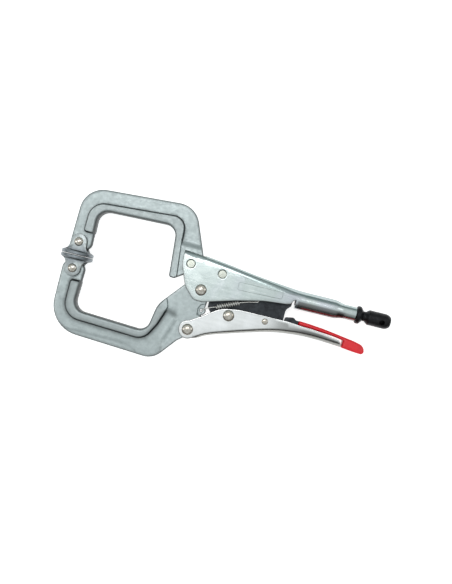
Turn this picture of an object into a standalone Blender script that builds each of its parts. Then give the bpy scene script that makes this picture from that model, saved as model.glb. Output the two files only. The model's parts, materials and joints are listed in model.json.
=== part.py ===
"""Locking C-clamp pliers, 280 mm long, lying flat.

The tool lies in the XY plane: +X runs along the adjusting screw, +Y points to the fixed jaw and the
upper handle, +Z is up. Sizes are in millimetres, measured from the main pivot in the middle of the
tool's thickness; place() brings them to metres, with the origin under the middle of the whole tool.
"""

import math

import bmesh
import bpy
from mathutils import Matrix, Vector

MM = 0.001

# clearances
FIT = 0.3  # between a pin and its hole, and between faces that touch
SIDE_GAP = 0.3  # between a jaw or link and the handle wall beside it

# handles, both folded from sheet
SHEET = 2.3
SPINE_R = 4.5  # outer radius of the fold along the spine
HANDLE_END = 129.0  # rear end of the upper handle's tube
LOWER_END = 122.0  # rear end of the lower handle
UPPER_SPINE_START = -2.4  # the jaw comes through the spine in front of this
TUBE_FRONT = 78.0
TUBE_R = 7.7
TUBE_TIP_R = 6.0  # the swaged, threaded end of the tube
SWAGE = (17.0, 12.0)  # the swage starts and ends this far in front of the tube's end
SPRING_TAB = (46.5, 3.2)

# jaws
REACH = 106.7  # from the main pivot to the swivel pads
JAW_TOP = 65.3  # height of the fixed jaw's back
JAW_BOTTOM = -64.3
HUB = 12.0  # thickness at the pivots
WEB = 8.0  # thickness of the arms
RIB = 15.0  # thickness of the rib along the throat
HUB_R = 9.5
LOBE_R = 8.0  # round the handle pivot
WALL_LOBE_R = 7.3  # the lower handle's walls round the same pivot

# pivots
HANDLE_PIVOT = (-3.0, -34.0)
TOGGLE_PIVOT = (27.0, -15.0)
LEVER_PIVOT = (57.0, -12.5)
JAW_RIVETS = ((-13.0, 18.8), (14.0, 16.7))
PIN_R = 3.2
HEAD_R = 4.6
HEAD_RISE = 2.2
LEVER_PIN_R = 1.9
LEVER_HEAD_R = 2.6
LEVER_HEAD_RISE = 0.9
JAW_PIN_R = 3.4

# toggle link
LINK_WEB = 3.2
LINK_BOSS_R = 7.0
NOSE = (72.5, 11.35)
NOSE_R = 3.2
NOSE_THICK = 6.0

# release lever
LEVER_THICK = 9.2
GRIP_START = 84.5
GRIP_THICK = 10.4
TAIL_STRIP = 1.1
TAIL_WIDTH = 7.2

# adjusting screw
SCREW_Y = 11.35
SCREW_R = 3.7
NOSE_TRAVEL = 3.2  # free space between the link's nose and the screw's tip
RING_R = 7.4
RING_LENGTH = 5.3
NECK_R = 4.1
NECK_LENGTH = 2.2
KNOB_R = 6.3
KNOB_LENGTH = 21.3
KNOB_CONE = 2.8  # length of the cone between neck and knob
KNOB_NOSE = 3.2  # length of the rounding at the knob's end
CROSS_HOLE_R = 2.0
CROSS_HOLE_BACK = 7.6  # from the knob's end
CROSS_HOLE_TURN = math.radians(16)  # about the screw's axis

# swivel pads
PAD_R = 13.25
PAD_THICK = 4.1
PAD_GAP = 0.3  # between the two clamp faces at rest
CLAMP_Y = 3.15  # the plane where the clamp faces meet
PAD_PIVOT_RISE = 11.0  # from the clamp face to the pad's rivet
EAR = 3.2
EAR_R = 6.4
EAR_BASE = 8.4  # half width of the ears where they grow out of the disc
PAD_PIN_R = 2.5
PAD_HEAD_R = 3.7
PAD_HEAD_RISE = 1.6
SWING_GAP = 1.3  # between the jaw's tip and the disc, so that the pad can tilt

# opening spring
WIRE_R = 0.4
COIL_R = 1.35
COIL_TURNS = 11
COIL_FROM = (16.0, -10.0)
COIL_TO = (33.0, -1.6)
SPRING_HOLE = (4.0, -16.5)
SPRING_HOLE_R = 1.2
SPRING_Z = 3.8
LUG_THICK = 3.0
LUG_R = 3.8

# what follows from the values above
CHANNEL_IN = HUB / 2 + SIDE_GAP
CHANNEL_OUT = CHANNEL_IN + SHEET
TUBE_BORE = TUBE_R - SHEET
SCREW_TIP = NOSE[0] + NOSE_R + NOSE_TRAVEL
RING_START = HANDLE_END + FIT
NECK_START = RING_START + RING_LENGTH + FIT
KNOB_START = NECK_START + NECK_LENGTH
KNOB_END = KNOB_START + KNOB_LENGTH
FIXED_FACE = CLAMP_Y + PAD_GAP / 2
MOVING_FACE = CLAMP_Y - PAD_GAP / 2
FIXED_PAD_PIVOT = (-REACH, FIXED_FACE + PAD_PIVOT_RISE)
MOVING_PAD_PIVOT = (-REACH, MOVING_FACE - PAD_PIVOT_RISE)
FIXED_TIP = FIXED_FACE + PAD_THICK + SWING_GAP
MOVING_TIP = MOVING_FACE - PAD_THICK - SWING_GAP
TIP_ROUND = 6.0
EAR_IN = WEB / 2 + FIT

ARC_STEP = math.radians(15)
ROUND = 20  # sides of a pin or a hole
THROUGH = 20.0  # half length of a cutter that passes the whole thickness
CLEAR = 40.0  # how far a cutter's outline runs past the part it trims


UPPER_STATIONS = (
    (-24.0, 29.9, CHANNEL_OUT, SPINE_R),
    (0.0, 28.0, CHANNEL_OUT, SPINE_R),
    (20.0, 25.6, CHANNEL_OUT, SPINE_R),
    (38.0, 23.0, CHANNEL_OUT, SPINE_R),
    (55.0, 21.1, CHANNEL_OUT, SPINE_R + 0.5),
    (TUBE_FRONT - 8, 19.9, CHANNEL_OUT - 0.2, SPINE_R + 1.4),
    (TUBE_FRONT + 1, SCREW_Y + TUBE_R + 0.2, TUBE_R + 0.2, TUBE_R),
)
LOWER_STATIONS = (
    (-14.0, -47.0, CHANNEL_OUT, SPINE_R),
    (0.0, -44.0, CHANNEL_OUT, SPINE_R),
    (8.0, -37.7, CHANNEL_OUT, SPINE_R),
    (16.0, -34.0, CHANNEL_OUT, SPINE_R),
    (40.0, -26.5, CHANNEL_OUT, SPINE_R),
    (58.0, -21.3, CHANNEL_OUT, SPINE_R + 0.5),
    (74.0, -18.2, CHANNEL_OUT, SPINE_R + 1.0),
    (88.0, -16.9, CHANNEL_OUT, SPINE_R + 1.0),
    (LOWER_END - 20, -16.9, CHANNEL_OUT, SPINE_R + 1.0),
    (LOWER_END + 2, -18.3, CHANNEL_OUT, SPINE_R + 1.0),
)


def spine_at(stations, x):
    """The spine's height at x, straight between two stations."""
    for near, far in zip(stations, stations[1:]):
        if x <= far[0]:
            return near[1] + (far[1] - near[1]) * (x - near[0]) / (far[0] - near[0])
    return stations[-1][1]


def arc(centre, radius, start, end):
    """Points on an arc, angles in degrees."""
    steps = max(2, round(abs(math.radians(end - start)) / ARC_STEP))
    angles = [math.radians(start + (end - start) * i / steps) for i in range(steps + 1)]
    return [(centre[0] + radius * math.cos(a), centre[1] + radius * math.sin(a)) for a in angles]


def rounded(corners):
    """An outline from corners (x, y) or (x, y, radius), each radius limited by the sides beside it."""
    points = []
    for i, corner in enumerate(corners):
        here = Vector(corner[:2])
        if len(corner) == 2:
            points.append(tuple(here))
            continue
        back = Vector(corners[i - 1][:2]) - here
        ahead = Vector(corners[(i + 1) % len(corners)][:2]) - here
        half = back.angle(ahead) / 2
        room = 0.49 * min(back.length, ahead.length)
        radius = min(corner[2], room * math.tan(half))
        cut = radius / math.tan(half)
        start, end = here + back.normalized() * cut, here + ahead.normalized() * cut
        centre = here + (back.normalized() + ahead.normalized()).normalized() * (radius / math.sin(half))
        steps = max(1, round((math.pi - 2 * half) / ARC_STEP))
        turn = (start - centre).angle_signed(end - centre)
        for step in range(steps + 1):
            points.append(tuple(centre + Matrix.Rotation(-turn * step / steps, 2) @ (start - centre)))
    return points


def area(points):
    """Signed area of an outline, positive when it runs anticlockwise."""
    return sum(a[0] * b[1] - b[0] * a[1] for a, b in zip(points, points[1:] + points[:1])) / 2


def add_prism(mesh, points, low, high):
    """An outline in XY given a thickness in Z."""
    if area(points) < 0:
        points = points[::-1]
    bottom = [mesh.verts.new((x, y, low)) for x, y in points]
    top = [mesh.verts.new((x, y, high)) for x, y in points]
    mesh.faces.new(bottom[::-1])
    mesh.faces.new(top)
    for i in range(len(points)):
        j = (i + 1) % len(points)
        mesh.faces.new((bottom[i], bottom[j], top[j], top[i]))


def prism(points, thickness):
    """One plate, centred in the tool's thickness."""
    mesh = bmesh.new()
    add_prism(mesh, points, -thickness / 2, thickness / 2)
    return mesh


def both_sides(points, inner, outer=THROUGH):
    """Two equal plates, one above and one below the tool's middle plane."""
    mesh = bmesh.new()
    add_prism(mesh, points, inner, outer)
    add_prism(mesh, points, -outer, -inner)
    return mesh


def box(low, high):
    """A box between two corners."""
    mesh = bmesh.new()
    outline = [(low[0], low[1]), (high[0], low[1]), (high[0], high[1]), (low[0], high[1])]
    add_prism(mesh, outline, low[2], high[2])
    return mesh


def turned(profile, centre, axis, sides=ROUND):
    """A profile of (distance along the axis, radius) spun round an axis; it starts and ends on it,
    or it is a closed ring when it stays clear of the axis."""
    along = Vector({"x": (1, 0, 0), "y": (0, 1, 0), "z": (0, 0, 1)}[axis])
    out = Vector({"x": (0, 1, 0), "y": (0, 0, 1), "z": (1, 0, 0)}[axis])
    ring = min(radius for _, radius in profile) > 0
    mesh = bmesh.new()
    loops = []
    for distance, radius in profile:
        if radius == 0:
            loops.append([mesh.verts.new(Vector(centre) + along * distance)])
            continue
        turns = [Matrix.Rotation(math.tau * i / sides, 3, along) @ out * radius for i in range(sides)]
        loops.append([mesh.verts.new(Vector(centre) + along * distance + turn) for turn in turns])
    pairs = list(zip(loops, loops[1:])) + ([(loops[-1], loops[0])] if ring else [])
    for near, far in pairs:
        for i in range(sides):
            j = (i + 1) % sides
            corners = [near[i % len(near)], near[j % len(near)], far[j % len(far)], far[i % len(far)]]
            mesh.faces.new(list(dict.fromkeys(corners)))
    bmesh.ops.recalc_face_normals(mesh, faces=mesh.faces)
    return mesh


def pin(centre, radius, half_length):
    """A plain round bar along Z, also used as a drill."""
    x, y = centre
    profile = [(-half_length, 0), (-half_length, radius), (half_length, radius), (half_length, 0)]
    return turned(profile, (x, y, 0), "z")


def channel(stations, open_to, wall):
    """A U section lofted along X. A station is (x, spine y, half width, fold radius)."""
    side = 1 if stations[0][1] < open_to else -1  # +1 when the spine is below
    mesh = bmesh.new()
    loops = []
    for x, spine, half, fold in stations:
        loop = []
        for skin in (0.0, wall):
            radius = max(fold - skin, 0.4)
            centre_z = half - skin - radius
            centre_y = spine + side * (skin + radius)
            angles = [math.radians(a) for a in (0, 22.5, 45, 67.5, 90)]
            bend = [(centre_y - side * radius * math.sin(a), centre_z + radius * math.cos(a)) for a in angles]
            right = [(open_to, half - skin)] + bend
            whole = right + [(y, -z) for y, z in right[::-1]]
            loop += whole if skin == 0 else whole[::-1]
        loops.append([mesh.verts.new((x, y, z)) for y, z in loop])
    for near, far in zip(loops, loops[1:]):
        for i in range(len(near)):
            j = (i + 1) % len(near)
            mesh.faces.new((near[i], near[j], far[j], far[i]))
    for cap in (loops[0], loops[-1]):
        half = len(cap) // 2
        for i in range(half - 1):
            mesh.faces.new((cap[i], cap[i + 1], cap[-2 - i], cap[-1 - i]))
    bmesh.ops.recalc_face_normals(mesh, faces=mesh.faces)
    return mesh


def material(name, colour, roughness, metallic):
    """A plain Principled finish."""
    finish = bpy.data.materials.new(name)
    finish.use_nodes = True
    shader = finish.node_tree.nodes["Principled BSDF"]
    shader.inputs["Base Color"].default_value = (*colour, 1)
    shader.inputs["Roughness"].default_value = roughness
    shader.inputs["Metallic"].default_value = metallic
    return finish


def fixed_jaw_outline():
    """The whole fixed jaw: C arm, tip and the root between the upper handle's walls."""
    tip = -REACH
    under = SPINE_R + FIT  # keeps the root's square edges clear of the fold
    return rounded([
        (tip - 8.1, FIXED_TIP, TIP_ROUND),
        (tip - 6.4, JAW_TOP - 5.0, 20),
        (-20.4, JAW_TOP + 1.2, 19),
        (-3.1, spine_at(UPPER_STATIONS, -3.1) - under, 2),
        (21.5, spine_at(UPPER_STATIONS, 21.5) - under, 3),
        (21.5, HUB_R + 3 * FIT, 3),
        (-11.0, HUB_R + 3 * FIT, 2),
        (-17.0, 8.8, 2),
        (-24.2, 4.0, 2),
        (-28.7, 4.0, 2),
        (-32.0, JAW_TOP - 19.4, 9.5),
        (tip + 9.6, JAW_TOP - 21.8, 9.5),
        (tip + 10.3, FIXED_TIP, TIP_ROUND),
    ])


def fixed_rib_edge():
    """The edge of the fixed jaw's rib, from the tip to the handle."""
    tip = -REACH
    return [
        (tip + 16.0, 24.0),
        (tip + 1.8, 24.0, 2),
        (tip + 2.6, JAW_TOP - 16.8, 13),
        (-26.0, JAW_TOP - 11.0, 11),
        (-24.8, 33.5, 2),
        (-22.0, 7.0, 2),
        (-22.4, -4.0),
    ]


def moving_jaw_outline():
    """The whole lower jaw: tip, C arm, the lobe at the handle pivot and the hub."""
    tip = -REACH
    lug_x, lug_y = SPRING_HOLE
    start = [
        (tip + 9.8, MOVING_TIP, TIP_ROUND),
        (tip - 9.4, MOVING_TIP, TIP_ROUND),
        (tip - 9.8, JAW_BOTTOM + 4.4, 26),
        (-25.4, JAW_BOTTOM - 0.8, 16),
        (-9.6, -45.4, 5),
    ]
    lobe = arc(HANDLE_PIVOT, LOBE_R, -105, 20)
    lug = arc((lug_x, lug_y), LUG_R, -75, 45)
    hub = arc((0, 0), HUB_R, -38, 140)
    rest = [
        (-13.5, 2.4, 3),
        (-32.0, -19.8, 20),
        (-36.0, -43.8, 9),
        (tip + 8.0, -40.6, 9),
    ]
    return rounded(start + lobe + lug + hub + rest)


def moving_rib_edge():
    """The edge of the lower jaw's rib, from the tip to the hub."""
    tip = -REACH
    return [
        (tip + 16.0, -17.5),
        (tip + 1.0, -17.5, 2),
        (tip + 0.7, JAW_BOTTOM + 16.8, 14),
        (-36.5, JAW_BOTTOM + 13.6, 12),
        (-28.4, -36.0, 10),
        (-22.8, -20.0, 3),
        (-25.0, -13.8, 2),
        (-34.0, -8.0),
    ]


def upper_side():
    """Side view of the upper handle's walls, open above, where the spine itself is the limit."""
    notch = TUBE_FRONT
    return rounded([
        (-20.3, 31.0, 1),
        (-20.3, 17.0, 20),
        (-13.5, 0.0, 12),
        (-4.5, -9.4, 7),
        (4.0, -9.2, 7),
        (30.0, -1.6, 60),
        (52.0, 3.6, 60),
        (notch - 8.0, 5.4, 2),
        (notch - 3.6, 6.6, 2),
        (notch - 2.2, 9.4, 1.5),
        (notch + 3.0, 9.9),
        (notch + 3.0, 60.0),
        (-20.3, 60.0),
    ])


def lower_side():
    """Side view of the lower handle's walls, open below, where the spine itself is the limit."""
    end = LOWER_END
    lobe = arc(HANDLE_PIVOT, WALL_LOBE_R, 95, 285)
    rest = [
        (9.0, -38.6),
        (9.0, -70.0),
        (end + 0.5, -70.0),
        (end + 0.5, -18.0),
        (end - 1.2, -12.6, 4),
        (end - 17.0, -10.5, 60),
        (76.0, -8.0, 60),
        (34.0, -8.2, 40),
        (19.0, -11.0, 20),
        (6.0, -20.6, 20),
    ]
    return rounded(lobe + rest)


def grip_top():
    """The upper line of the release lever's grip, front to rear."""
    end = LOWER_END
    return [
        (GRIP_START, -5.2),
        (95.0, -5.8),
        (end - 17.0, -6.7),
        (end - 7.0, -8.0),
        (end + 11.0, -10.6, 20),
    ]


def grip_outline():
    """The grip of the release lever in side view, with its tail beyond the handle's end."""
    end = LOWER_END
    tail = [
        (end + 19.5, -12.6, 5),
        (end + 21.4, -20.2, 2.6),
        (end + 10.0, -19.4, 10),
        (end + 1.4, -18.4, 1),
        (end + 1.4, -12.1, 1),
        (end - 2.5, -11.2, 2),
        (end - 8.0, -10.5, 20),
        (95.0, -9.4, 40),
        (GRIP_START, -9.0),
    ]
    return rounded(grip_top() + tail)


def tail_strip(spare=0.0):
    """The lever's own tail inside the grip, in side view, made thicker by spare all round."""
    line = [(x, y - 1.7) for x, y in [corner[:2] for corner in grip_top()]]
    line[0] = (line[0][0] - 3.0, line[0][1] - 0.1)
    line[-1] = (line[-1][0] + spare, line[-1][1])
    upper = [(x, y + TAIL_STRIP / 2 + spare) for x, y in line]
    lower = [(x, y - TAIL_STRIP / 2 - spare) for x, y in line]
    return upper + lower[::-1]


def spring_path():
    """The wire's middle line: hook in the jaw's lug, shank, coils, shank and hook on the tab."""
    start, end = Vector((*COIL_FROM, SPRING_Z)), Vector((*COIL_TO, SPRING_Z))
    along = (end - start).normalized()
    across = Vector((-along.y, along.x, 0))
    coils = []
    steps = COIL_TURNS * 8
    for i in range(steps + 1):
        turn = math.tau * COIL_TURNS * i / steps
        ramp = min(1.0, 2 * min(i, steps - i) / 8)
        offset = across * math.cos(turn) + Vector((0, 0, 1)) * math.sin(turn)
        coils.append(start.lerp(end, i / steps) + offset * COIL_R * ramp)
    hole_x, hole_y = SPRING_HOLE
    tab_x, tab_y = SPRING_TAB
    hook = [
        Vector((hole_x + 1.6, hole_y + 1.0, -LUG_THICK / 2 - 0.9)),
        Vector((hole_x, hole_y, -LUG_THICK / 2 - 0.7)),
        Vector((hole_x, hole_y, LUG_THICK / 2 + 1.0)),
        Vector((hole_x + 3.0, hole_y + 2.4, SPRING_Z - 0.2)),
    ]
    eye = [
        Vector((tab_x - 6.0, tab_y - 3.4, SPRING_Z)),
        Vector((tab_x + 1.2, tab_y - 1.9, SPRING_Z)),
        Vector((tab_x + 2.1, tab_y, SPRING_Z)),
        Vector((tab_x + 1.2, tab_y + 1.9, SPRING_Z)),
        Vector((tab_x - 1.4, tab_y + 1.9, SPRING_Z)),
    ]
    return hook + coils + eye


ORIGIN = Vector((
    (KNOB_END - REACH - PAD_R) / 2,
    (max(y for _, y in fixed_jaw_outline()) + min(y for _, y in moving_jaw_outline())) / 2,
    -PAD_R,
))


def place(name, mesh, finish, pivot=(0, 0)):
    """A named object from a mesh in millimetres, its own origin on the given pivot."""
    at = Vector((pivot[0], pivot[1], 0))
    if isinstance(mesh, bmesh.types.BMesh):
        data = bpy.data.meshes.new(name)
        bmesh.ops.translate(mesh, verts=mesh.verts, vec=-at)
        bmesh.ops.scale(mesh, verts=mesh.verts, vec=(MM, MM, MM))
        mesh.to_mesh(data)
        mesh.free()
        data.shade_smooth()
        data.set_sharp_from_angle(angle=math.radians(30))
    else:
        data = mesh
    thing = bpy.data.objects.new(name, data)
    thing.location = (at - ORIGIN) * MM
    bpy.context.scene.collection.objects.link(thing)
    if finish is not None:
        data.materials.append(finish)
    return thing


def boolean(target, mesh, operation, label):
    """Adds, cuts or trims a node with a hidden guide body."""
    guide = place(f"{target.name}_{label}", mesh, None)
    guide.display_type = "WIRE"
    guide.hide_render = True
    modifier = target.modifiers.new(label, "BOOLEAN")
    modifier.operation = operation
    modifier.solver = "EXACT"
    modifier.object = guide


def drill(target, centre, radius, label):
    """A round hole through the whole thickness."""
    boolean(target, pin(centre, radius, THROUGH), "DIFFERENCE", label)


def domed_rivet(name, centre, radius, head_radius, rise, grip_half, finish):
    """A rivet along Z with a domed head outside each wall."""
    head = [
        (grip_half + FIT + rise * math.sin(a), head_radius * math.cos(a))
        for a in (0.0, math.radians(30), math.radians(55), math.radians(75))
    ]
    top = [(grip_half + FIT, radius)] + head + [(grip_half + FIT + rise, 0)]
    profile = [(-z, r) for z, r in top[::-1]] + top
    return place(name, turned(profile, (*centre, 0), "z"), finish, centre)


def make_fixed_jaw(steel):
    jaw = place("fixed_jaw", prism(fixed_jaw_outline(), RIB), steel)
    left, above, below = -REACH - CLEAR, JAW_TOP + CLEAR, -CLEAR
    around = [(-REACH + 16.0, below), (left, below), (left, above)]
    beyond = [(60.0, -4.0), (60.0, above)]
    outside = rounded(fixed_rib_edge() + beyond + around[::-1])
    boolean(jaw, both_sides(outside, HUB / 2), "DIFFERENCE", "root_faces")
    panel = rounded(fixed_rib_edge()[:-2] + [(40.0, 33.5), (40.0, above)] + around[::-1])
    boolean(jaw, both_sides(panel, WEB / 2), "DIFFERENCE", "arm_faces")
    for number, centre in enumerate(JAW_RIVETS):
        drill(jaw, centre, JAW_PIN_R + FIT, f"rivet_hole_{number}")
    drill(jaw, FIXED_PAD_PIVOT, PAD_PIN_R + FIT, "pad_hole")


def make_lower_jaw(steel):
    jaw = place("lower_jaw", prism(moving_jaw_outline(), RIB), steel)
    left, above, below = -REACH - CLEAR, CLEAR, JAW_BOTTOM - CLEAR
    around = [(left, below), (left, above), (-REACH + 16.0, above)]
    outside = rounded(moving_rib_edge() + [(-34.0, above), (60.0, above), (60.0, below)] + around)
    boolean(jaw, both_sides(outside, HUB / 2), "DIFFERENCE", "hub_faces")
    root_edge = [(-14.0, -25.0, 4), (-16.5, -36.0, 10), (-22.0, -50.0, 10), (-10.0, below)]
    panel = rounded(moving_rib_edge()[:-2] + root_edge + around)
    boolean(jaw, both_sides(panel, WEB / 2), "DIFFERENCE", "arm_faces")
    lug_x, lug_y = SPRING_HOLE
    lug = [
        (lug_x - 1.2, lug_y + 5.0),
        (lug_x - 2.9, lug_y + 1.5),
        (lug_x - 2.6, lug_y - 4.2),
        (lug_x + 9.0, lug_y - 5.2),
        (lug_x + 9.0, lug_y + 8.0),
    ]
    boolean(jaw, both_sides(rounded(lug), LUG_THICK / 2), "DIFFERENCE", "lug_faces")
    drill(jaw, (0, 0), PIN_R + FIT, "main_hole")
    drill(jaw, HANDLE_PIVOT, PIN_R + FIT, "handle_hole")
    drill(jaw, SPRING_HOLE, SPRING_HOLE_R, "spring_hole")
    drill(jaw, MOVING_PAD_PIVOT, PAD_PIN_R + FIT, "pad_hole")


def make_upper_handle(zinc):
    handle = place("upper_handle", channel(UPPER_STATIONS, -18.0, SHEET), zinc)
    boolean(handle, prism(upper_side(), 2 * THROUGH), "INTERSECT", "side_cut")
    slot = box((-CLEAR, -CLEAR, -CHANNEL_IN), (UPPER_SPINE_START, JAW_TOP, CHANNEL_IN))
    boolean(handle, slot, "DIFFERENCE", "jaw_slot")
    bore = SCREW_R + FIT
    swage_start, swage_end = HANDLE_END - SWAGE[0], HANDLE_END - SWAGE[1]
    tube = [
        (TUBE_FRONT, TUBE_BORE),
        (TUBE_FRONT, TUBE_R),
        (swage_start, TUBE_R),
        (swage_end, TUBE_TIP_R),
        (HANDLE_END - 0.5, TUBE_TIP_R),
        (HANDLE_END, TUBE_TIP_R - 0.5),
        (HANDLE_END, bore),
        (swage_end, bore),
        (swage_start, TUBE_BORE),
    ]
    boolean(handle, turned(tube, (0, SCREW_Y, 0), "x", 24), "UNION", "tube")
    panel = box((29.0, 7.2, CHANNEL_OUT - 0.8), (66.0, 13.6, CHANNEL_OUT + 0.3))
    boolean(handle, panel, "UNION", "side_panel")
    tab_x, tab_y = SPRING_TAB
    tab = box((tab_x - 1.0, tab_y - 1.1, LINK_WEB / 2 + 0.6), (tab_x + 1.0, tab_y + 1.1, CHANNEL_IN + 0.9))
    boolean(handle, tab, "UNION", "spring_tab")
    drill(handle, (0, 0), PIN_R + FIT, "main_hole")
    for number, centre in enumerate(JAW_RIVETS):
        drill(handle, centre, JAW_PIN_R + FIT, f"rivet_hole_{number}")


def make_lower_handle(chrome):
    handle = place("lower_handle", channel(LOWER_STATIONS, 6.0, SHEET), chrome, HANDLE_PIVOT)
    boolean(handle, prism(lower_side(), 2 * THROUGH), "INTERSECT", "side_cut")
    front = HANDLE_PIVOT[0] + LOBE_R + 2.0
    slot = box((-CLEAR, JAW_BOTTOM, -CHANNEL_IN), (front, CLEAR, CHANNEL_IN))
    boolean(handle, slot, "DIFFERENCE", "jaw_slot")
    drill(handle, HANDLE_PIVOT, PIN_R + FIT, "handle_hole")
    drill(handle, TOGGLE_PIVOT, PIN_R + FIT, "toggle_hole")
    drill(handle, LEVER_PIVOT, LEVER_PIN_R + FIT, "lever_hole")


def make_toggle_link(dark):
    tx, ty = TOGGLE_PIVOT
    nx, ny = NOSE
    web = rounded([
        (tx - 9.0, ty - 7.0, 5),
        (tx - 11.6, ty - 1.0, 3),
        (tx - 13.6, ty + 7.2, 2),
        (tx - 6.0, ty + 13.4, 20),
        (tx + 12.0, ty + 20.0, 20),
        (nx - 6.0, ny + 3.0, 6),
        (nx, ny + 2.6, 2),
        (nx + 1.6, ny - 4.0, 3),
        (nx - 1.2, 0.5, 8),
        (nx - 0.7, -8.7, 1),
        (60.6, -8.7),
        (59.8, -6.4, 0.8),
        (58.4, -6.4, 0.8),
        (57.6, -8.7),
        (tx + 18.0, ty + 6.3, 10),
        (tx + 4.0, ty - 6.0, 3),
    ])
    link = place("toggle_link", prism(web, LINK_WEB), dark, TOGGLE_PIVOT)
    boolean(link, pin(TOGGLE_PIVOT, LINK_BOSS_R, HUB / 2), "UNION", "boss")
    boolean(link, pin(NOSE, NOSE_R, NOSE_THICK / 2), "UNION", "nose")
    drill(link, TOGGLE_PIVOT, PIN_R + FIT, "toggle_hole")


def make_release_lever(dark, vinyl):
    px, py = LEVER_PIVOT
    start = GRIP_START
    body = rounded([
        (px - 9.5, py + 2.6, 1.2),
        (px, py + 3.3, 10),
        (start - 11.9, py + 3.2, 1),
        (start - 11.4, py + 7.4, 1.2),
        (start - 4.6, py + 8.8, 2),
        (start - 2.6, py + 7.0, 0.8),
        (start - FIT, py + 7.0),
        (start - FIT, py + 3.4),
        (start - 12.0, py - 0.8, 10),
        (px + 3.0, py - 3.8, 4),
        (px - 5.0, py - 3.6, 4),
        (px - 9.5, py - 0.2, 2),
    ])
    lever = place("release_lever", prism(body, LEVER_THICK), dark, LEVER_PIVOT)
    boolean(lever, prism(tail_strip(), TAIL_WIDTH), "UNION", "tail")
    drill(lever, LEVER_PIVOT, LEVER_PIN_R + FIT, "lever_hole")
    grip = place("release_lever_grip", prism(grip_outline(), GRIP_THICK), vinyl, LEVER_PIVOT)
    boolean(grip, prism(tail_strip(FIT), TAIL_WIDTH + 2 * FIT), "DIFFERENCE", "tail_pocket")


def make_screw(black):
    ring = [
        (RING_START, SCREW_R + FIT),
        (RING_START, RING_R - 0.9),
        (RING_START + 0.9, RING_R),
        (RING_START + RING_LENGTH * 0.55, RING_R),
        (RING_START + RING_LENGTH, SCREW_R + FIT + 0.8),
        (RING_START + RING_LENGTH, SCREW_R + FIT),
    ]
    place("stop_ring", turned(ring, (0, SCREW_Y, 0), "x", 24), black, (RING_START, SCREW_Y))
    screw = [
        (SCREW_TIP, 0),
        (SCREW_TIP, SCREW_R - 1.0),
        (SCREW_TIP + 1.0, SCREW_R),
        (NECK_START, SCREW_R),
        (NECK_START, NECK_R),
        (KNOB_START, NECK_R),
        (KNOB_START + KNOB_CONE, KNOB_R),
        (KNOB_END - KNOB_NOSE, KNOB_R),
        (KNOB_END - KNOB_NOSE * 0.4, KNOB_R - 0.6),
        (KNOB_END, KNOB_R - 2.0),
        (KNOB_END, 0),
    ]
    knob = place("adjusting_screw", turned(screw, (0, SCREW_Y, 0), "x", 24), black, (KNOB_START, SCREW_Y))
    cross = pin((KNOB_END - CROSS_HOLE_BACK, SCREW_Y), CROSS_HOLE_R, THROUGH)
    turn = Matrix.Rotation(CROSS_HOLE_TURN, 3, "X")
    bmesh.ops.rotate(cross, verts=cross.verts, cent=(0, SCREW_Y, 0), matrix=turn)
    boolean(knob, cross, "DIFFERENCE", "cross_hole")


def make_pad(name, rivet_name, pivot, face, steel, nickel):
    """A disc with two ears that straddle the jaw's tip, and the rivet it swings on."""
    side = 1 if pivot[1] > face else -1
    disc = [
        (0, 0),
        (0, PAD_R - 0.4),
        (side * 0.4, PAD_R),
        (side * (PAD_THICK - 1.2), PAD_R),
        (side * PAD_THICK, PAD_R - 2.2),
        (side * PAD_THICK, 0),
    ]
    pad = place(name, turned(disc, (pivot[0], face, 0), "y", 32), steel, pivot)
    base = face + side * (PAD_THICK - 1.0)
    top = arc(pivot, EAR_R, 20, 160) if side > 0 else arc(pivot, EAR_R, -160, -20)
    foot = [(pivot[0] - EAR_BASE, base), (pivot[0] + EAR_BASE, base)]
    ears = bmesh.new()
    outline = top + (foot if side > 0 else foot[::-1])
    add_prism(ears, outline, EAR_IN, EAR_IN + EAR)
    add_prism(ears, outline, -EAR_IN - EAR, -EAR_IN)
    boolean(pad, ears, "UNION", "ears")
    drill(pad, pivot, PAD_PIN_R + FIT, "rivet_hole")
    domed_rivet(rivet_name, pivot, PAD_PIN_R, PAD_HEAD_R, PAD_HEAD_RISE, EAR_IN + EAR, nickel)


def make_rivets(nickel):
    for number, centre in enumerate(JAW_RIVETS):
        where = ("front", "rear")[number]
        body = pin(centre, JAW_PIN_R, CHANNEL_OUT + 0.1)
        place(f"fixed_jaw_rivet_{where}", body, nickel, centre)
    for name, centre in (
        ("main_pivot_rivet", (0.0, 0.0)),
        ("handle_pivot_rivet", HANDLE_PIVOT),
        ("toggle_pivot_rivet", TOGGLE_PIVOT),
    ):
        domed_rivet(name, centre, PIN_R, HEAD_R, HEAD_RISE, CHANNEL_OUT, nickel)
    domed_rivet(
        "release_lever_rivet",
        LEVER_PIVOT,
        LEVER_PIN_R,
        LEVER_HEAD_R,
        LEVER_HEAD_RISE,
        CHANNEL_OUT,
        nickel,
    )


def make_spring(wire_steel):
    data = bpy.data.curves.new("opening_spring", "CURVE")
    data.dimensions = "3D"
    data.bevel_depth = WIRE_R * MM
    data.bevel_resolution = 1
    data.use_fill_caps = True
    path = spring_path()
    line = data.splines.new("POLY")
    line.points.add(len(path) - 1)
    for point, at in zip(line.points, path):
        point.co = (*(at * MM), 1)
    place("opening_spring", data, wire_steel)


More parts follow.
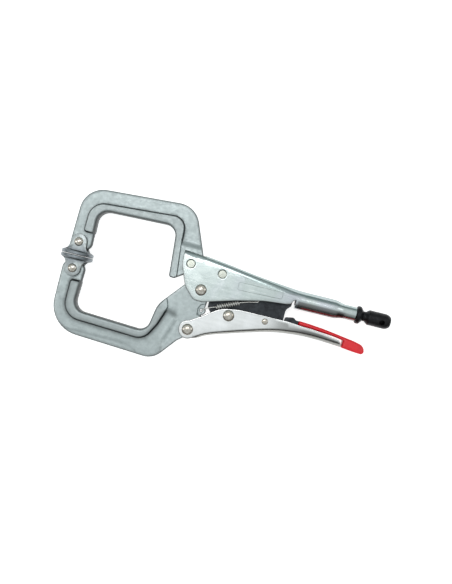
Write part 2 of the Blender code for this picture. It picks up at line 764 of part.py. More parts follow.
def add_pivots():
    """Empties on the joint axes, each carrying what turns or slides there."""
    pivots = (
        ("lower_jaw_pivot", (0, 0), None, ("lower_jaw", "moving_pad_rivet")),
        (
            "lower_handle_pivot",
            HANDLE_PIVOT,
            "lower_jaw_pivot",
            ("lower_handle", "handle_pivot_rivet", "toggle_pivot_rivet", "release_lever_rivet"),
        ),
        ("toggle_link_pivot", TOGGLE_PIVOT, "lower_handle_pivot", ("toggle_link",)),
        (
            "release_lever_pivot",
            LEVER_PIVOT,
            "lower_handle_pivot",
            ("release_lever", "release_lever_grip"),
        ),
        ("fixed_pad_pivot", FIXED_PAD_PIVOT, None, ("fixed_swivel_pad",)),
        ("moving_pad_pivot", MOVING_PAD_PIVOT, "lower_jaw_pivot", ("moving_swivel_pad",)),
        ("screw_travel", (RING_START, SCREW_Y), None, ("stop_ring",)),
        ("screw_spin", (KNOB_START, SCREW_Y), "screw_travel", ("adjusting_screw",)),
    )
    for name, pivot, parent, carried in pivots:
        empty = bpy.data.objects.new(name, None)
        bpy.context.scene.collection.objects.link(empty)
        empty.empty_display_size = 10 * MM
        empty.location = (Vector((*pivot, 0)) - ORIGIN) * MM
        bpy.context.view_layer.update()
        if parent:
            hold(empty, bpy.data.objects[parent])
        for node in carried:
            hold(bpy.data.objects[node], empty)


def hold(child, parent):
    """Parents an object without moving it."""
    bpy.context.view_layer.update()
    child.parent = parent
    child.matrix_parent_inverse = parent.matrix_world.inverted()


def main():
    for thing in list(bpy.data.objects):
        bpy.data.objects.remove(thing)
    forged = material("forged zinc-plated steel", (0.62, 0.66, 0.67), 0.38, 0.9)
    pale = material("pale zinc plate", (0.78, 0.82, 0.83), 0.3, 0.9)
    chrome = material("bright chrome", (0.72, 0.73, 0.74), 0.12, 1.0)
    nickel = material("nickel rivet", (0.66, 0.62, 0.56), 0.25, 1.0)
    dark = material("blackened steel", (0.03, 0.035, 0.04), 0.45, 0.7)
    black = material("black oxide screw", (0.015, 0.015, 0.017), 0.4, 0.6)
    vinyl = material("red vinyl", (0.65, 0.02, 0.03), 0.35, 0.0)
    make_fixed_jaw(forged)
    make_lower_jaw(forged)
    make_upper_handle(pale)
    make_lower_handle(chrome)
    make_toggle_link(dark)
    make_release_lever(dark, vinyl)
    make_screw(black)
    make_pad("fixed_swivel_pad", "fixed_pad_rivet", FIXED_PAD_PIVOT, FIXED_FACE, forged, nickel)
    make_pad("moving_swivel_pad", "moving_pad_rivet", MOVING_PAD_PIVOT, MOVING_FACE, forged, nickel)
    make_rivets(nickel)
    make_spring(nickel)
    add_pivots()


main()
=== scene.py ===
"""Locking C-clamp pliers: the detailed pieces, their finishes and a plain studio,
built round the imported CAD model."""

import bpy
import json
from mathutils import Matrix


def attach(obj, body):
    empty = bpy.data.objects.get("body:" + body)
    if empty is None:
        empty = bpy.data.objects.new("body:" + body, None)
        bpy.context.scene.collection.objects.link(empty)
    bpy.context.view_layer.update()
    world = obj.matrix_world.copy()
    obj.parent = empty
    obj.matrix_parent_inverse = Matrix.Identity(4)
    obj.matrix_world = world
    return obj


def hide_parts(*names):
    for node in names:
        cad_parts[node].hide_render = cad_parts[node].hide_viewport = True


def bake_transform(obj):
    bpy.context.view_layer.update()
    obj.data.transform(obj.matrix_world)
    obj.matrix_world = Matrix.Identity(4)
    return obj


bl_info = {
    "name": "Locking Pliers",
    "version": (1, 0, 0),
    "blender": (4, 5, 0),
    "location": "View3D > Sidebar > Pliers",
    "description": "Builds the pieces and finishes of a pair of locking C-clamp pliers",
    "category": "Add Mesh",
}

import json
import math

import bmesh
import bpy
import numpy as np
from mathutils import Matrix, Vector
from mathutils.geometry import delaunay_2d_cdt

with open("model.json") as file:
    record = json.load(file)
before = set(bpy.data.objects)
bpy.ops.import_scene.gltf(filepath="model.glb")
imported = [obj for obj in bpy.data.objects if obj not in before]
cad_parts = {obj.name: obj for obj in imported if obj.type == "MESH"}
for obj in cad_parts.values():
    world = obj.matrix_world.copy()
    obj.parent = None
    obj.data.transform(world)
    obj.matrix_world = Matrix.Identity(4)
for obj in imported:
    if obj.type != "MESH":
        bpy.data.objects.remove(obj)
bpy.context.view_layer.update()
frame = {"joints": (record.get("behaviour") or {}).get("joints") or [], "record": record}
JOINTS = {joint["name"]: joint for joint in frame["joints"]}
MAIN = Vector(JOINTS["jaw_open"]["pos_m"])  # the main pivot, where every size below is counted from

MM = 0.001

# sizes in millimetres from the main pivot, X along the screw and Z through the thickness
FIT = 0.3
SHEET = 2.3
CHANNEL_IN = 6.3
CHANNEL_OUT = 8.6
HUB = 6.0
WEB = 4.0
RIB = 7.5
JAW_TOP = 65.3
JAW_BOTTOM = -64.3
REACH = 106.7
JAW_TIP_FIXED = 8.7  # where the fixed jaw's tip ends between its pad's ears
JAW_TIP_MOVING = -2.4


def local(joint):
    """A joint's place in millimetres from the main pivot."""
    return (Vector(JOINTS[joint]["pos_m"]) - MAIN) / MM


HANDLE_PIVOT = local("handle_swing")
TOGGLE_PIVOT = local("toggle_swing")
LEVER_PIVOT = local("lever_press")
FIXED_PAD_PIVOT = local("fixed_pad_tilt")
MOVING_PAD_PIVOT = local("moving_pad_tilt")
SCREW_Y = local("screw_turn").y
JAW_RIVETS = ((-13.0, 18.8), (14.0, 16.7))
PIN_R = 3.2
JAW_PIN_R = 3.4
LEVER_PIN_R = 1.9
PAD_PIN_R = 2.5
PIVOT_HEAD = (4.75, 2.4)  # a rivet head's radius and rise
LEVER_HEAD = (2.6, 1.1)
PAD_HEAD = (3.7, 1.8)
FLUSH_HEAD = (JAW_PIN_R, 0.1)
EAR_IN = 4.3  # the pad's ears, counted from the middle plane
EAR_OUT = 7.5
TUBE_FRONT = 78.0
TUBE_R = 7.7
TUBE_TIP_R = 6.0
HANDLE_END = 129.0
LOWER_END = 122.0
NOSE = (72.5, SCREW_Y)
NOSE_R = 3.2
TIP_GAP = 3.2  # left free between the link's nose and the screw's tip
SCREW_R = 3.7
THREAD_PITCH = 1.5
THREAD_DEPTH = 0.55
RING_LENGTH = 5.3
RING_R = 7.4
NECK_LENGTH = 2.2
NECK_R = 4.1
KNOB_LENGTH = 21.3
KNOB_R = 6.3
CROSS_HOLE_R = 2.0
CROSS_HOLE_BACK = 7.6  # how far the knob's cross hole is from the knob's end
CROSS_HOLE_TURN = math.radians(16)
SPRING_HOLE = (4.0, -16.5)
SPRING_TAB = (46.5, 3.2)
SPRING_WIRE_R = 0.42
SPRING_COIL_R = 1.7

# how closely a side view is divided, in millimetres
EDGE_STEP = 0.8
FINE_STEP = 0.6


# ---------------------------------------------------------------- outlines

def arc(centre, radius, start, end, step=5.0):
    """Points on an arc, angles in degrees."""
    steps = max(2, round(abs(end - start) / step))
    angles = [math.radians(start + (end - start) * i / steps) for i in range(steps + 1)]
    return [(centre[0] + radius * math.cos(a), centre[1] + radius * math.sin(a)) for a in angles]


def circle(centre, radius, count=40):
    """A whole circle of that many points."""
    step = 360 / count
    return arc(centre, radius, 0, 360 - step, step)


def rounded(corners, least=0.45, closed=True):
    """An outline from corners (x, y) or (x, y, radius), each radius limited by the sides beside it."""
    points = []
    for i, corner in enumerate(corners):
        here = Vector(corner[:2])
        if not closed and i in (0, len(corners) - 1):
            points.append(tuple(here))
            continue
        to_last = Vector(corners[i - 1][:2]) - here
        to_next = Vector(corners[(i + 1) % len(corners)][:2]) - here
        radius = corner[2] if len(corner) > 2 else least
        half = to_last.angle(to_next) / 2
        if half > math.radians(88.5):
            points.append(tuple(here))
            continue
        reach = min(radius / math.tan(half), to_last.length * 0.48, to_next.length * 0.48)
        radius = reach * math.tan(half)
        first = here + to_last.normalized() * reach
        last = here + to_next.normalized() * reach
        middle = here + (to_last.normalized() + to_next.normalized()).normalized() * radius / math.sin(half)
        turn = math.pi - 2 * half
        steps = max(3, round(turn / math.radians(8)))
        begin = first - middle
        sign = 1 if begin.x * (last - middle).y - begin.y * (last - middle).x > 0 else -1
        for k in range(steps + 1):
            a = sign * turn * k / steps
            points.append((
                middle.x + begin.x * math.cos(a) - begin.y * math.sin(a),
                middle.y + begin.x * math.sin(a) + begin.y * math.cos(a),
            ))
    return points


def evened(line, step, closed=True):
    """The line with points added until no side is longer than step."""
    line = np.asarray(line, float)
    ends = np.roll(line, -1, axis=0) if closed else line[1:]
    out = []
    for a, b in zip(line, ends):
        n = max(1, math.ceil(np.hypot(*(b - a)) / step))
        out += [a + (b - a) * i / n for i in range(n)]
    if not closed:
        out.append(line[-1])
    return np.array(out)


def distance(points, line, closed=True):
    """How far each point is from the line."""
    line = np.asarray(line, float)
    a, b = (line, np.roll(line, -1, axis=0)) if closed else (line[:-1], line[1:])
    side = b - a
    long = np.maximum((side * side).sum(1), 1e-12)
    out = np.empty(len(points))
    for i in range(0, len(points), 1200):
        p = points[i:i + 1200, None]
        t = np.clip(((p - a) * side).sum(2) / long, 0, 1)
        out[i:i + 1200] = np.sqrt(((a + t[..., None] * side - p) ** 2).sum(2)).min(1)
    return out


def within(points, loop):
    """Which points lie inside the closed outline."""
    loop = np.asarray(loop, float)
    ax, ay = loop.T
    bx, by = np.roll(loop, -1, axis=0).T
    out = np.empty(len(points), bool)
    for i in range(0, len(points), 1200):
        x, y = points[i:i + 1200, :1], points[i:i + 1200, 1:]
        level = np.where(by == ay, 1e-12, by - ay)
        out[i:i + 1200] = (((ay > y) != (by > y)) & (x < (bx - ax) * (y - ay) / level + ax)).sum(1) % 2 == 1
    return out


def signed(points, loop):
    """The distance to the outline, positive inside."""
    return np.where(within(points, loop), 1, -1) * distance(points, loop)


def beside(line, away, closed=True):
    """The line moved sideways, to the left of its direction when away is positive."""
    line = np.asarray(line, float)
    ahead, back = np.roll(line, -1, axis=0), np.roll(line, 1, axis=0)
    if not closed:
        ahead[-1], back[0] = line[-1], line[0]
    along = ahead - back
    along /= np.maximum(np.hypot(*along.T), 1e-9)[:, None]
    return line + np.stack([-along[:, 1], along[:, 0]], 1) * away


def area(loop):
    """The area inside the outline, positive when it runs anticlockwise."""
    x, y = np.asarray(loop, float).T
    return 0.5 * float((x * np.roll(y, -1) - np.roll(x, -1) * y).sum())


def anticlockwise(loop):
    """The outline, turned round if it runs clockwise."""
    loop = np.asarray(loop, float)
    return loop if area(loop) > 0 else loop[::-1]


def ease(value, width):
    """0 below -width, 1 above width, and a smooth step between."""
    t = np.clip(0.5 + value / (2 * width), 0, 1)
    return t * t * (3 - 2 * t)


def edge_round(d, top, width, drop, wall=0.3):
    """Height of a forged edge: a drafted wall from the parting line, then a rounded shoulder."""
    climb = np.clip(d / wall, 0, 1)
    turn = np.clip((d - wall * 0.4) / width, 0, 1)
    return (top - drop) * climb + drop * np.sqrt(1 - (1 - turn) ** 2)


# ---------------------------------------------------------------- bodies from heights over a side view

def spread(groups):
    """All the points, leaving out any that crowd one before it. A group is (points, least distance)."""
    cell = 0.8
    grid = {}
    kept = []
    for points, gap in groups:
        for p in points:
            x, y = float(p[0]), float(p[1])
            cx, cy = int(x // cell), int(y // cell)
            near = any(
                (x - q[0]) ** 2 + (y - q[1]) ** 2 < gap * gap
                for i in (cx - 1, cx, cx + 1) for j in (cy - 1, cy, cy + 1) for q in grid.get((i, j), ())
            )
            if not near:
                grid.setdefault((cx, cy), []).append((x, y))
                kept.append((x, y))
    return kept


def flat_mesh(outline, holes, rows, creases, pitch, step):
    """Triangles over the outline: rows of points follow its edge, its holes and its creases."""
    outline = anticlockwise(evened(outline, step))
    holes = [evened(hole, min(step, FINE_STEP)) for hole in holes]
    beside_creases = []
    lines = []
    for line, closed, offsets, hard in creases:
        line = evened(line, step, closed)
        if hard:
            lines.append(line[within(line, outline) & (distance(line, outline) > 0.02)])
        for away in offsets:
            if away or not hard:
                beside_creases.append(beside(line, away, closed))
    groups = [(outline, 0.0)] + [(hole, 0.0) for hole in holes] + [(line, 0.0) for line in lines]
    edges_of = [(outline, True)] + [(hole, True) for hole in holes] + [(line, False) for line in lines]
    rims = []
    for row in rows:
        ring = beside(outline, row)
        rims.append(ring[distance(ring, outline) > row * 0.97])
        for hole in holes:
            rims.append(beside(anticlockwise(hole), -row))
    low, high = outline.min(0), outline.max(0)
    xs = np.arange(low[0], high[0], pitch)
    ys = np.arange(low[1], high[1], pitch * 0.866)
    gx, gy = np.meshgrid(xs, ys)
    gx = gx + (np.arange(len(ys)) % 2)[:, None] * pitch / 2
    field = np.stack([gx.ravel(), gy.ravel()], 1)
    loose = []
    for points, gap in [(np.asarray(p), 0.1) for p in rims + beside_creases] + [(field, pitch * 0.55)]:
        if not len(points):
            continue
        keep = within(points, outline) & (distance(points, outline) > 0.04)
        for hole in holes:
            keep &= ~within(points, hole) & (distance(points, hole) > 0.04)
        loose.append((points[keep], gap))
    fixed_points = [tuple(p) for group, _ in groups for p in group]
    free = spread([(fixed_points, 0.0)] + loose)[len(fixed_points):]
    edges, start = [], 0
    for line, closed in edges_of:
        n = len(line)
        edges += [(start + i, start + i + 1) for i in range(n - 1)]
        if closed:
            edges.append((start + n - 1, start))
        start += n
    points = [Vector(p) for p in fixed_points + free]
    found, _, faces, *_ = delaunay_2d_cdt(points, edges, [], 1, 1e-5)
    spots = np.array([tuple(v) for v in found])
    faces = np.array([f for f in faces if len(f) == 3])
    middle = spots[faces].mean(1)
    keep = within(middle, outline)
    for hole in holes:
        keep &= ~within(middle, hole)
    faces = faces[keep]
    a, b, c = (spots[faces[:, i]] for i in range(3))
    turned = (b[:, 0] - a[:, 0]) * (c[:, 1] - a[:, 1]) - (b[:, 1] - a[:, 1]) * (c[:, 0] - a[:, 0]) < 0
    faces[turned] = faces[turned][:, ::-1]
    used, back = np.unique(faces, return_inverse=True)
    return spots[used], back.reshape(-1, 3)


def rim_edges(faces):
    """The directed edges that only one of these triangles has."""
    pairs = np.concatenate([faces[:, [0, 1]], faces[:, [1, 2]], faces[:, [2, 0]]])
    seen = set(map(tuple, pairs.tolist()))
    return [pair for pair in seen if (pair[1], pair[0]) not in seen]


def body(spots, faces, outer, inner=None, hollow=None, raised=None):
    """A closed body, the same on both sides of the middle plane, as points and faces.
    outer is the height of each spot. A sheet also has the height of its inside, over the hollow triangles."""
    n = len(spots)
    tops = outer if raised is None else outer + raised
    points = [(x, y, z) for (x, y), z in zip(spots, tops)]
    points += [(x, y, -z) for (x, y), z in zip(spots, outer)]
    flat = {i for i in range(n) if outer[i] < 1e-6}
    under = [i if i in flat else i + n for i in range(n)]
    skin = [tuple(f) for f in faces.tolist()]
    skin += [tuple(under[i] for i in f[::-1]) for f in faces.tolist()]
    inside = {}
    if inner is not None:
        for i in np.unique(faces[hollow]):
            inside[int(i)] = (len(points), len(points) + 1)
            points.append((spots[i][0], spots[i][1], inner[i]))
            points.append((spots[i][0], spots[i][1], -inner[i]))
        for f in faces[hollow].tolist():
            skin.append(tuple(inside[i][0] for i in f[::-1]))
            skin.append(tuple(inside[i][1] for i in f))
    owner = set()
    if inner is not None:
        for f in faces[hollow].tolist():
            owner |= {(f[0], f[1]), (f[1], f[2]), (f[2], f[0])}
    for a, b in rim_edges(faces):
        if (a, b) in owner:
            skin.append((b, a, inside[a][0], inside[b][0]))
            skin.append((under[a], under[b], inside[b][1], inside[a][1]))
        else:
            ring = [b, a] + (list(inside[a]) if a in inside else []) + [under[a], under[b]]
            ring += list(inside[b])[::-1] if b in inside else []
            ring = [v for i, v in enumerate(ring) if v != ring[i - 1]]
            if len(ring) > 2:
                skin.append(tuple(ring))
    if inner is not None:
        outside_rim = set(rim_edges(faces))
        for a, b in rim_edges(faces[hollow]):
            if (a, b) not in outside_rim:
                skin.append((inside[a][0], inside[b][0], inside[b][1], inside[a][1]))
    return points, skin


def piece(name, points, faces, finish, sharp=32):
    """A plain mesh object at the origin, from points in millimetres from the main pivot."""
    data = bpy.data.meshes.new(name)
    data.from_pydata([tuple(MAIN + Vector(p) * MM) for p in points], [], faces)
    data.validate()
    data.update()
    if finish is not None:
        data.materials.append(finish)
    thing = bpy.data.objects.new(name, data)
    bpy.context.scene.collection.objects.link(thing)
    settle(data, sharp)
    return thing


def settle(data, sharp=32):
    """Smooth shading that breaks where two faces meet at more than the sharp angle."""
    data.shade_smooth()
    data.set_sharp_from_angle(angle=math.radians(sharp))


def mark(thing, label, values):
    """Keeps a value for each point, for the finish to read."""
    layer = thing.data.attributes.new(label, "FLOAT", "POINT")
    layer.data.foreach_set("value", np.asarray(values, "f"))


def painted(thing, rule):
    """Marks the finished mesh with what the rule makes of its points, in millimetres from the main pivot."""
    spots = np.empty(len(thing.data.vertices) * 3)
    thing.data.vertices.foreach_get("co", spots)
    spots = (spots.reshape(-1, 3) - np.array(MAIN)) / MM
    for label, values in rule(spots).items():
        mark(thing, label, values)
    return thing


def fused(base, others, operation="UNION", sharp=32):
    """The base with the others added to it or cut from it, as a plain mesh."""
    for other in others:
        modifier = base.modifiers.new(operation, "BOOLEAN")
        modifier.operation = operation
        modifier.solver = "MANIFOLD"
        modifier.object = other
    return baked(base, others, sharp)


def baked(thing, spare=(), sharp=32):
    """Turns what the modifiers make into the object's own plain mesh."""
    bpy.context.view_layer.update()
    seen = thing.evaluated_get(bpy.context.evaluated_depsgraph_get())
    data = bpy.data.meshes.new_from_object(seen)
    data.name = thing.name
    thing.modifiers.clear()
    thing.data = data
    for other in spare:
        bpy.data.objects.remove(other)
    settle(data, sharp)
    return thing


# ---------------------------------------------------------------- finishes

def node(tree, kind, settings=None, **inputs):
    """Adds a node, sets its own settings, and sets or links its inputs by name or number."""
    made = tree.nodes.new(kind)
    for key, value in (settings or {}).items():
        setattr(made, key, value)
    for key, value in inputs.items():
        at = int(key[1:]) if key[0] == "i" and key[1:].isdigit() else key.replace("_", " ")
        socket = made.inputs[at]
        if isinstance(value, bpy.types.NodeSocket):
            tree.links.new(value, socket)
        else:
            socket.default_value = value
    return made


def tone(red, green, blue):
    """A colour from 0-255 display values."""
    shares = (red / 255, green / 255, blue / 255)
    linear = [v / 12.92 if v <= 0.04045 else ((v + 0.055) / 1.055) ** 2.4 for v in shares]
    return (*linear, 1.0)


def noise(tree, coords, scale, detail=3.0, roughness=0.5):
    """A noise pattern whose marks are about 1/scale metres across."""
    made = node(
        tree, "ShaderNodeTexNoise", None, Vector=coords, Scale=scale, Detail=detail, Roughness=roughness
    )
    return made.outputs["Fac"]


def ranged(tree, value, low, high, to_low, to_high):
    """The value, moved from one range to another and kept inside it."""
    made = node(tree, "ShaderNodeMapRange", None, Value=value)
    for key, number in (("From Min", low), ("From Max", high), ("To Min", to_low), ("To Max", to_high)):
        made.inputs[key].default_value = number
    return made.outputs["Result"]


def mixed(tree, share, first, second):
    """A colour between the first, at a share of 0, and the second, at 1."""
    made = node(tree, "ShaderNodeMix", {"data_type": "RGBA"})
    for number, value in ((0, share), (6, first), (7, second)):
        if isinstance(value, bpy.types.NodeSocket):
            tree.links.new(value, made.inputs[number])
        else:
            made.inputs[number].default_value = value
    return made.outputs[2]


def finish(name, light, dark, metallic, smooth, rough, mottle=140.0, grain=1800.0, depth=0.02, streak=None,
           worn=None, tint=None, coat=0.0, face=None, painted_shade=None):
    """A procedural finish: mottled colour, fine grain, streaks left by rolling or polishing, and worn edges.
    Scales are marks per metre, depth is the grain's height in millimetres. The worn colour shows where the
    piece is marked with rim. The face colour is painted shade on handle spine bands and pad discs and a
    darker tone on jaw ribs; the darkest colour is painted shade on creases, edges and undersides, where
    marked so."""
    material = bpy.data.materials.new(name)
    material.use_nodes = True
    tree = material.node_tree
    shader = tree.nodes["Principled BSDF"]
    coords = node(tree, "ShaderNodeTexCoord").outputs["Object"]
    cloud = noise(tree, coords, mottle, 4.0, 0.6)
    colour = mixed(tree, ranged(tree, cloud, 0.35, 0.65, 0.0, 1.0), dark, light)
    if tint is not None:
        patch = noise(tree, coords, mottle * 0.45, 2.0)
        colour = mixed(tree, ranged(tree, patch, 0.5, 0.72, 0.0, 0.55), colour, tint)
    height = noise(tree, coords, grain, 2.0, 0.55)
    polish = noise(tree, coords, mottle * 2.3, 3.0)
    if streak is not None:
        drawn = node(tree, "ShaderNodeMapping", None, Vector=coords, Scale=streak)
        lines = noise(tree, drawn.outputs["Vector"], 1.0, 3.0, 0.6)
        polish = node(tree, "ShaderNodeMath", {"operation": "MULTIPLY_ADD"}, i0=lines, i1=0.6, i2=0.0)
        height = node(
            tree, "ShaderNodeMath", {"operation": "MULTIPLY_ADD"}, i0=height, i1=0.4, i2=polish.outputs[0]
        ).outputs[0]
        polish = height
    if worn is not None:
        rim = node(tree, "ShaderNodeAttribute", {"attribute_name": "rim"}).outputs["Fac"]
        broken = noise(tree, coords, 420.0, 3.0, 0.65)
        patchy = ranged(tree, broken, 0.35, 0.6, 0.2, 1.0)
        share = node(tree, "ShaderNodeMath", {"operation": "MULTIPLY"}, i0=rim, i1=patchy)
        colour = mixed(tree, share.outputs[0], colour, worn)
    # a grey tone: painted shade on the handles' spine bands and the pads' discs, a darker tone on the jaws'
    # ribs
    if face is not None:
        share = node(tree, "ShaderNodeAttribute", {"attribute_name": "face"}).outputs["Fac"]
        colour = mixed(tree, ranged(tree, share, 0.0, 1.0, 0.0, 0.8), colour, face)
    # painted shade: a near-black colour standing in for shade in creases, along edges and on undersides
    if painted_shade is not None:
        share = node(tree, "ShaderNodeAttribute", {"attribute_name": "painted_shade"}).outputs["Fac"]
        colour = mixed(tree, ranged(tree, share, 0.12, 0.85, 0.0, 0.92), colour, painted_shade)
    tree.links.new(colour, shader.inputs["Base Color"])
    tree.links.new(ranged(tree, polish, 0.3, 0.7, smooth, rough), shader.inputs["Roughness"])
    shader.inputs["Metallic"].default_value = metallic
    shader.inputs["Coat Weight"].default_value = coat
    shader.inputs["Coat Roughness"].default_value = 0.12
    bump = node(tree, "ShaderNodeBump", None, Height=height, Strength=1.0, Distance=depth * MM)
    tree.links.new(bump.outputs["Normal"], shader.inputs["Normal"])
    return material


# ---------------------------------------------------------------- node trees for turned and bent pieces

class Wires:
    """A few short calls for building a Geometry Nodes tree."""

    def __init__(self, name, sockets):
        self.tree = bpy.data.node_groups.new(name, "GeometryNodeTree")
        self.tree.interface.new_socket("Geometry", in_out="INPUT", socket_type="NodeSocketGeometry")
        for label, kind, default in sockets:
            made = self.tree.interface.new_socket(label, in_out="INPUT", socket_type=kind)
            if default is not None:
                made.default_value = default
        self.tree.interface.new_socket("Geometry", in_out="OUTPUT", socket_type="NodeSocketGeometry")
        self.inputs = self.tree.nodes.new("NodeGroupInput").outputs

    def add(self, kind, settings=None, **inputs):
        return node(self.tree, kind, settings, **inputs)

    def math(self, operation, *values):
        made = self.tree.nodes.new("ShaderNodeMath")
        made.operation = operation
        for socket, value in zip(made.inputs, values):
            if isinstance(value, bpy.types.NodeSocket):
                self.tree.links.new(value, socket)
            else:
                socket.default_value = value
        return made.outputs[0]

    def window(self, value, start, end, soft):
        """1 between start and end, with a soft step at each."""
        rise = self.add("ShaderNodeMapRange", {"interpolation_type": "SMOOTHSTEP"}, Value=value)
        fall = self.add("ShaderNodeMapRange", {"interpolation_type": "SMOOTHSTEP"}, Value=value)
        for made, edge, first in ((rise, start, 0.0), (fall, end, 1.0)):
            self.tree.links.new(self.math("SUBTRACT", edge, soft), made.inputs["From Min"])
            self.tree.links.new(self.math("ADD", edge, soft), made.inputs["From Max"])
            made.inputs["To Min"].default_value = first
            made.inputs["To Max"].default_value = 1.0 - first
        return self.math("MULTIPLY", rise.outputs[0], fall.outputs[0])

    def done(self, geometry, finish):
        smooth = self.add("GeometryNodeSetShadeSmooth", None, Geometry=geometry)
        real = self.add("GeometryNodeRealizeInstances", None, Geometry=smooth.outputs[0])
        painted = self.add("GeometryNodeSetMaterial", None, Geometry=real.outputs[0], Material=finish)
        out = self.tree.nodes.new("NodeGroupOutput")
        self.tree.links.new(painted.outputs[0], out.inputs[0])
        return self.tree


def turning_tree():
    """Turns a profile, given as points (radius, height), round Z, and cuts a thread and a knurl in it."""
    wires = Wires("turned piece", (
        ("Segments", "NodeSocketInt", 48),
        ("Thread Pitch", "NodeSocketFloat", THREAD_PITCH * MM),
        ("Thread Depth", "NodeSocketFloat", 0.0),
        ("Thread Start", "NodeSocketFloat", 0.0),
        ("Thread End", "NodeSocketFloat", 0.0),
        ("Knurl Depth", "NodeSocketFloat", 0.0),
        ("Knurl Count", "NodeSocketFloat", 36.0),
        ("Knurl Lead", "NodeSocketFloat", 20.0 * MM),
        ("Knurl Start", "NodeSocketFloat", 0.0),
        ("Knurl End", "NodeSocketFloat", 0.0),
        ("Finish", "NodeSocketMaterial", None),
    ))
    inputs, maths = wires.inputs, wires.math
    size = wires.add("GeometryNodeAttributeDomainSize", None, Geometry=inputs["Geometry"])
    around = maths("ADD", inputs["Segments"], 1.0)
    grid = wires.add(
        "GeometryNodeMeshGrid", None,
        Size_X=1.0, Size_Y=1.0, Vertices_X=size.outputs["Point Count"], Vertices_Y=around
    )
    index = wires.add("GeometryNodeInputIndex").outputs[0]
    row = maths("FLOOR", maths("DIVIDE", maths("ADD", index, 0.25), around))
    column = maths("SUBTRACT", index, maths("MULTIPLY", row, around))
    share = maths("DIVIDE", column, inputs["Segments"])
    sample = wires.add(
        "GeometryNodeSampleIndex", {"data_type": "FLOAT_VECTOR", "domain": "POINT"},
        Geometry=inputs["Geometry"], Index=row
    )
    value = [s for s in sample.inputs if s.name == "Value" and s.enabled][0]
    wires.tree.links.new(wires.add("GeometryNodeInputPosition").outputs[0], value)
    found = [s for s in sample.outputs if s.enabled][0]
    parts = wires.add("ShaderNodeSeparateXYZ", None, i0=found).outputs
    radius, height = parts[0], parts[1]
    helix = maths("ADD", maths("DIVIDE", height, inputs["Thread Pitch"]), share)
    thread = maths("MULTIPLY", maths("PINGPONG", helix, 0.5), maths("MULTIPLY", inputs["Thread Depth"], 2.0))
    soft = 0.5 * MM
    threaded = wires.window(height, inputs["Thread Start"], inputs["Thread End"], soft)
    thread = maths("MULTIPLY", thread, threaded)
    teeth = maths("MULTIPLY", share, inputs["Knurl Count"])
    lean = maths("MULTIPLY", maths("DIVIDE", height, inputs["Knurl Lead"]), inputs["Knurl Count"])
    cuts = [maths("PINGPONG", maths(way, teeth, lean), 0.5) for way in ("ADD", "SUBTRACT")]
    knurl = maths("MULTIPLY", maths("MAXIMUM", *cuts), maths("MULTIPLY", inputs["Knurl Depth"], 2.0))
    knurled = wires.window(height, inputs["Knurl Start"], inputs["Knurl End"], soft)
    knurl = maths("MULTIPLY", knurl, knurled)
    left = maths("SUBTRACT", maths("SUBTRACT", radius, thread), knurl)
    radius = maths("MAXIMUM", maths("MINIMUM", left, radius), 0.0)
    angle = maths("MULTIPLY", share, math.tau)
    place = wires.add(
        "ShaderNodeCombineXYZ", None, X=maths("MULTIPLY", radius, maths("COSINE", angle)),
        Y=maths("MULTIPLY", radius, maths("SINE", angle)), Z=height
    )
    moved = wires.add(
        "GeometryNodeSetPosition", None, Geometry=grid.outputs["Mesh"], Position=place.outputs[0]
    )
    welded = wires.add("GeometryNodeMergeByDistance", None, Geometry=moved.outputs[0], Distance=0.002 * MM)
    return wires.done(welded.outputs[0], inputs["Finish"])


def bending_tree():
    """Draws round wire along a line of points."""
    wires = Wires("bent wire", (
        ("Wire Radius", "NodeSocketFloat", 0.4 * MM),
        ("Sides", "NodeSocketInt", 12),
        ("Finish", "NodeSocketMaterial", None),
    ))
    line = wires.add("GeometryNodeMeshToCurve", None, Mesh=wires.inputs["Geometry"])
    ring = wires.add(
        "GeometryNodeCurvePrimitiveCircle", {"mode": "RADIUS"},
        Resolution=wires.inputs["Sides"], Radius=wires.inputs["Wire Radius"]
    )
    drawn = wires.add(
        "GeometryNodeCurveToMesh", None, Curve=line.outputs[0], Profile_Curve=ring.outputs[0], Fill_Caps=True
    )
    welded = wires.add("GeometryNodeMergeByDistance", None, Geometry=drawn.outputs[0], Distance=0.001 * MM)
    return wires.done(welded.outputs[0], wires.inputs["Finish"])


def grown(name, points, tree, settings):
    """Runs a node tree on a line of points and keeps the result as a plain mesh."""
    data = bpy.data.meshes.new(name)
    data.from_pydata([tuple(p) for p in points], [(i, i + 1) for i in range(len(points) - 1)], [])
    thing = bpy.data.objects.new(name, data)
    bpy.context.scene.collection.objects.link(thing)
    modifier = thing.modifiers.new("shape", "NODES")
    modifier.node_group = tree
    names = {item.name: item.identifier for item in tree.interface.items_tree if item.in_out == "INPUT"}
    for label, value in settings.items():
        modifier[names[label]] = value
    bpy.context.view_layer.update()
    seen = thing.evaluated_get(bpy.context.evaluated_depsgraph_get())
    made = bpy.data.meshes.new_from_object(seen)
    thing.modifiers.clear()
    thing.data = made
    made.name = name
    bpy.data.meshes.remove(data)
    return thing


# turn Z onto each axis
AXES = {
    "x": Matrix(((0, 0, 1), (1, 0, 0), (0, 1, 0))).to_4x4(),
    "y": Matrix(((0, 1, 0), (0, 0, 1), (1, 0, 0))).to_4x4(),
    "z": Matrix.Identity(4),
}


def turned(name, profile, centre, axis, finish, segments=48, sharp=32, thread=None, knurl=None):
    """A lathe piece: profile points are (radius, distance along the axis), in millimetres from centre."""
    settings = {"Segments": segments, "Finish": finish}
    if thread:
        depth, pitch, start, end = thread
        settings.update({
            "Thread Depth": depth * MM, "Thread Pitch": pitch * MM,
            "Thread Start": start * MM, "Thread End": end * MM,
        })
    if knurl:
        depth, count, lead, start, end = knurl
        settings.update({
            "Knurl Depth": depth * MM, "Knurl Count": float(count), "Knurl Lead": lead * MM,
            "Knurl Start": start * MM, "Knurl End": end * MM,
        })
    points = [(r * MM, h * MM, 0) for r, h in profile]
    thing = grown(name, points, TREES["turned"], settings)
    thing.data.transform(Matrix.Translation(MAIN + Vector(centre) * MM) @ AXES[axis])
    outwards(thing.data)
    settle(thing.data, sharp)
    return thing


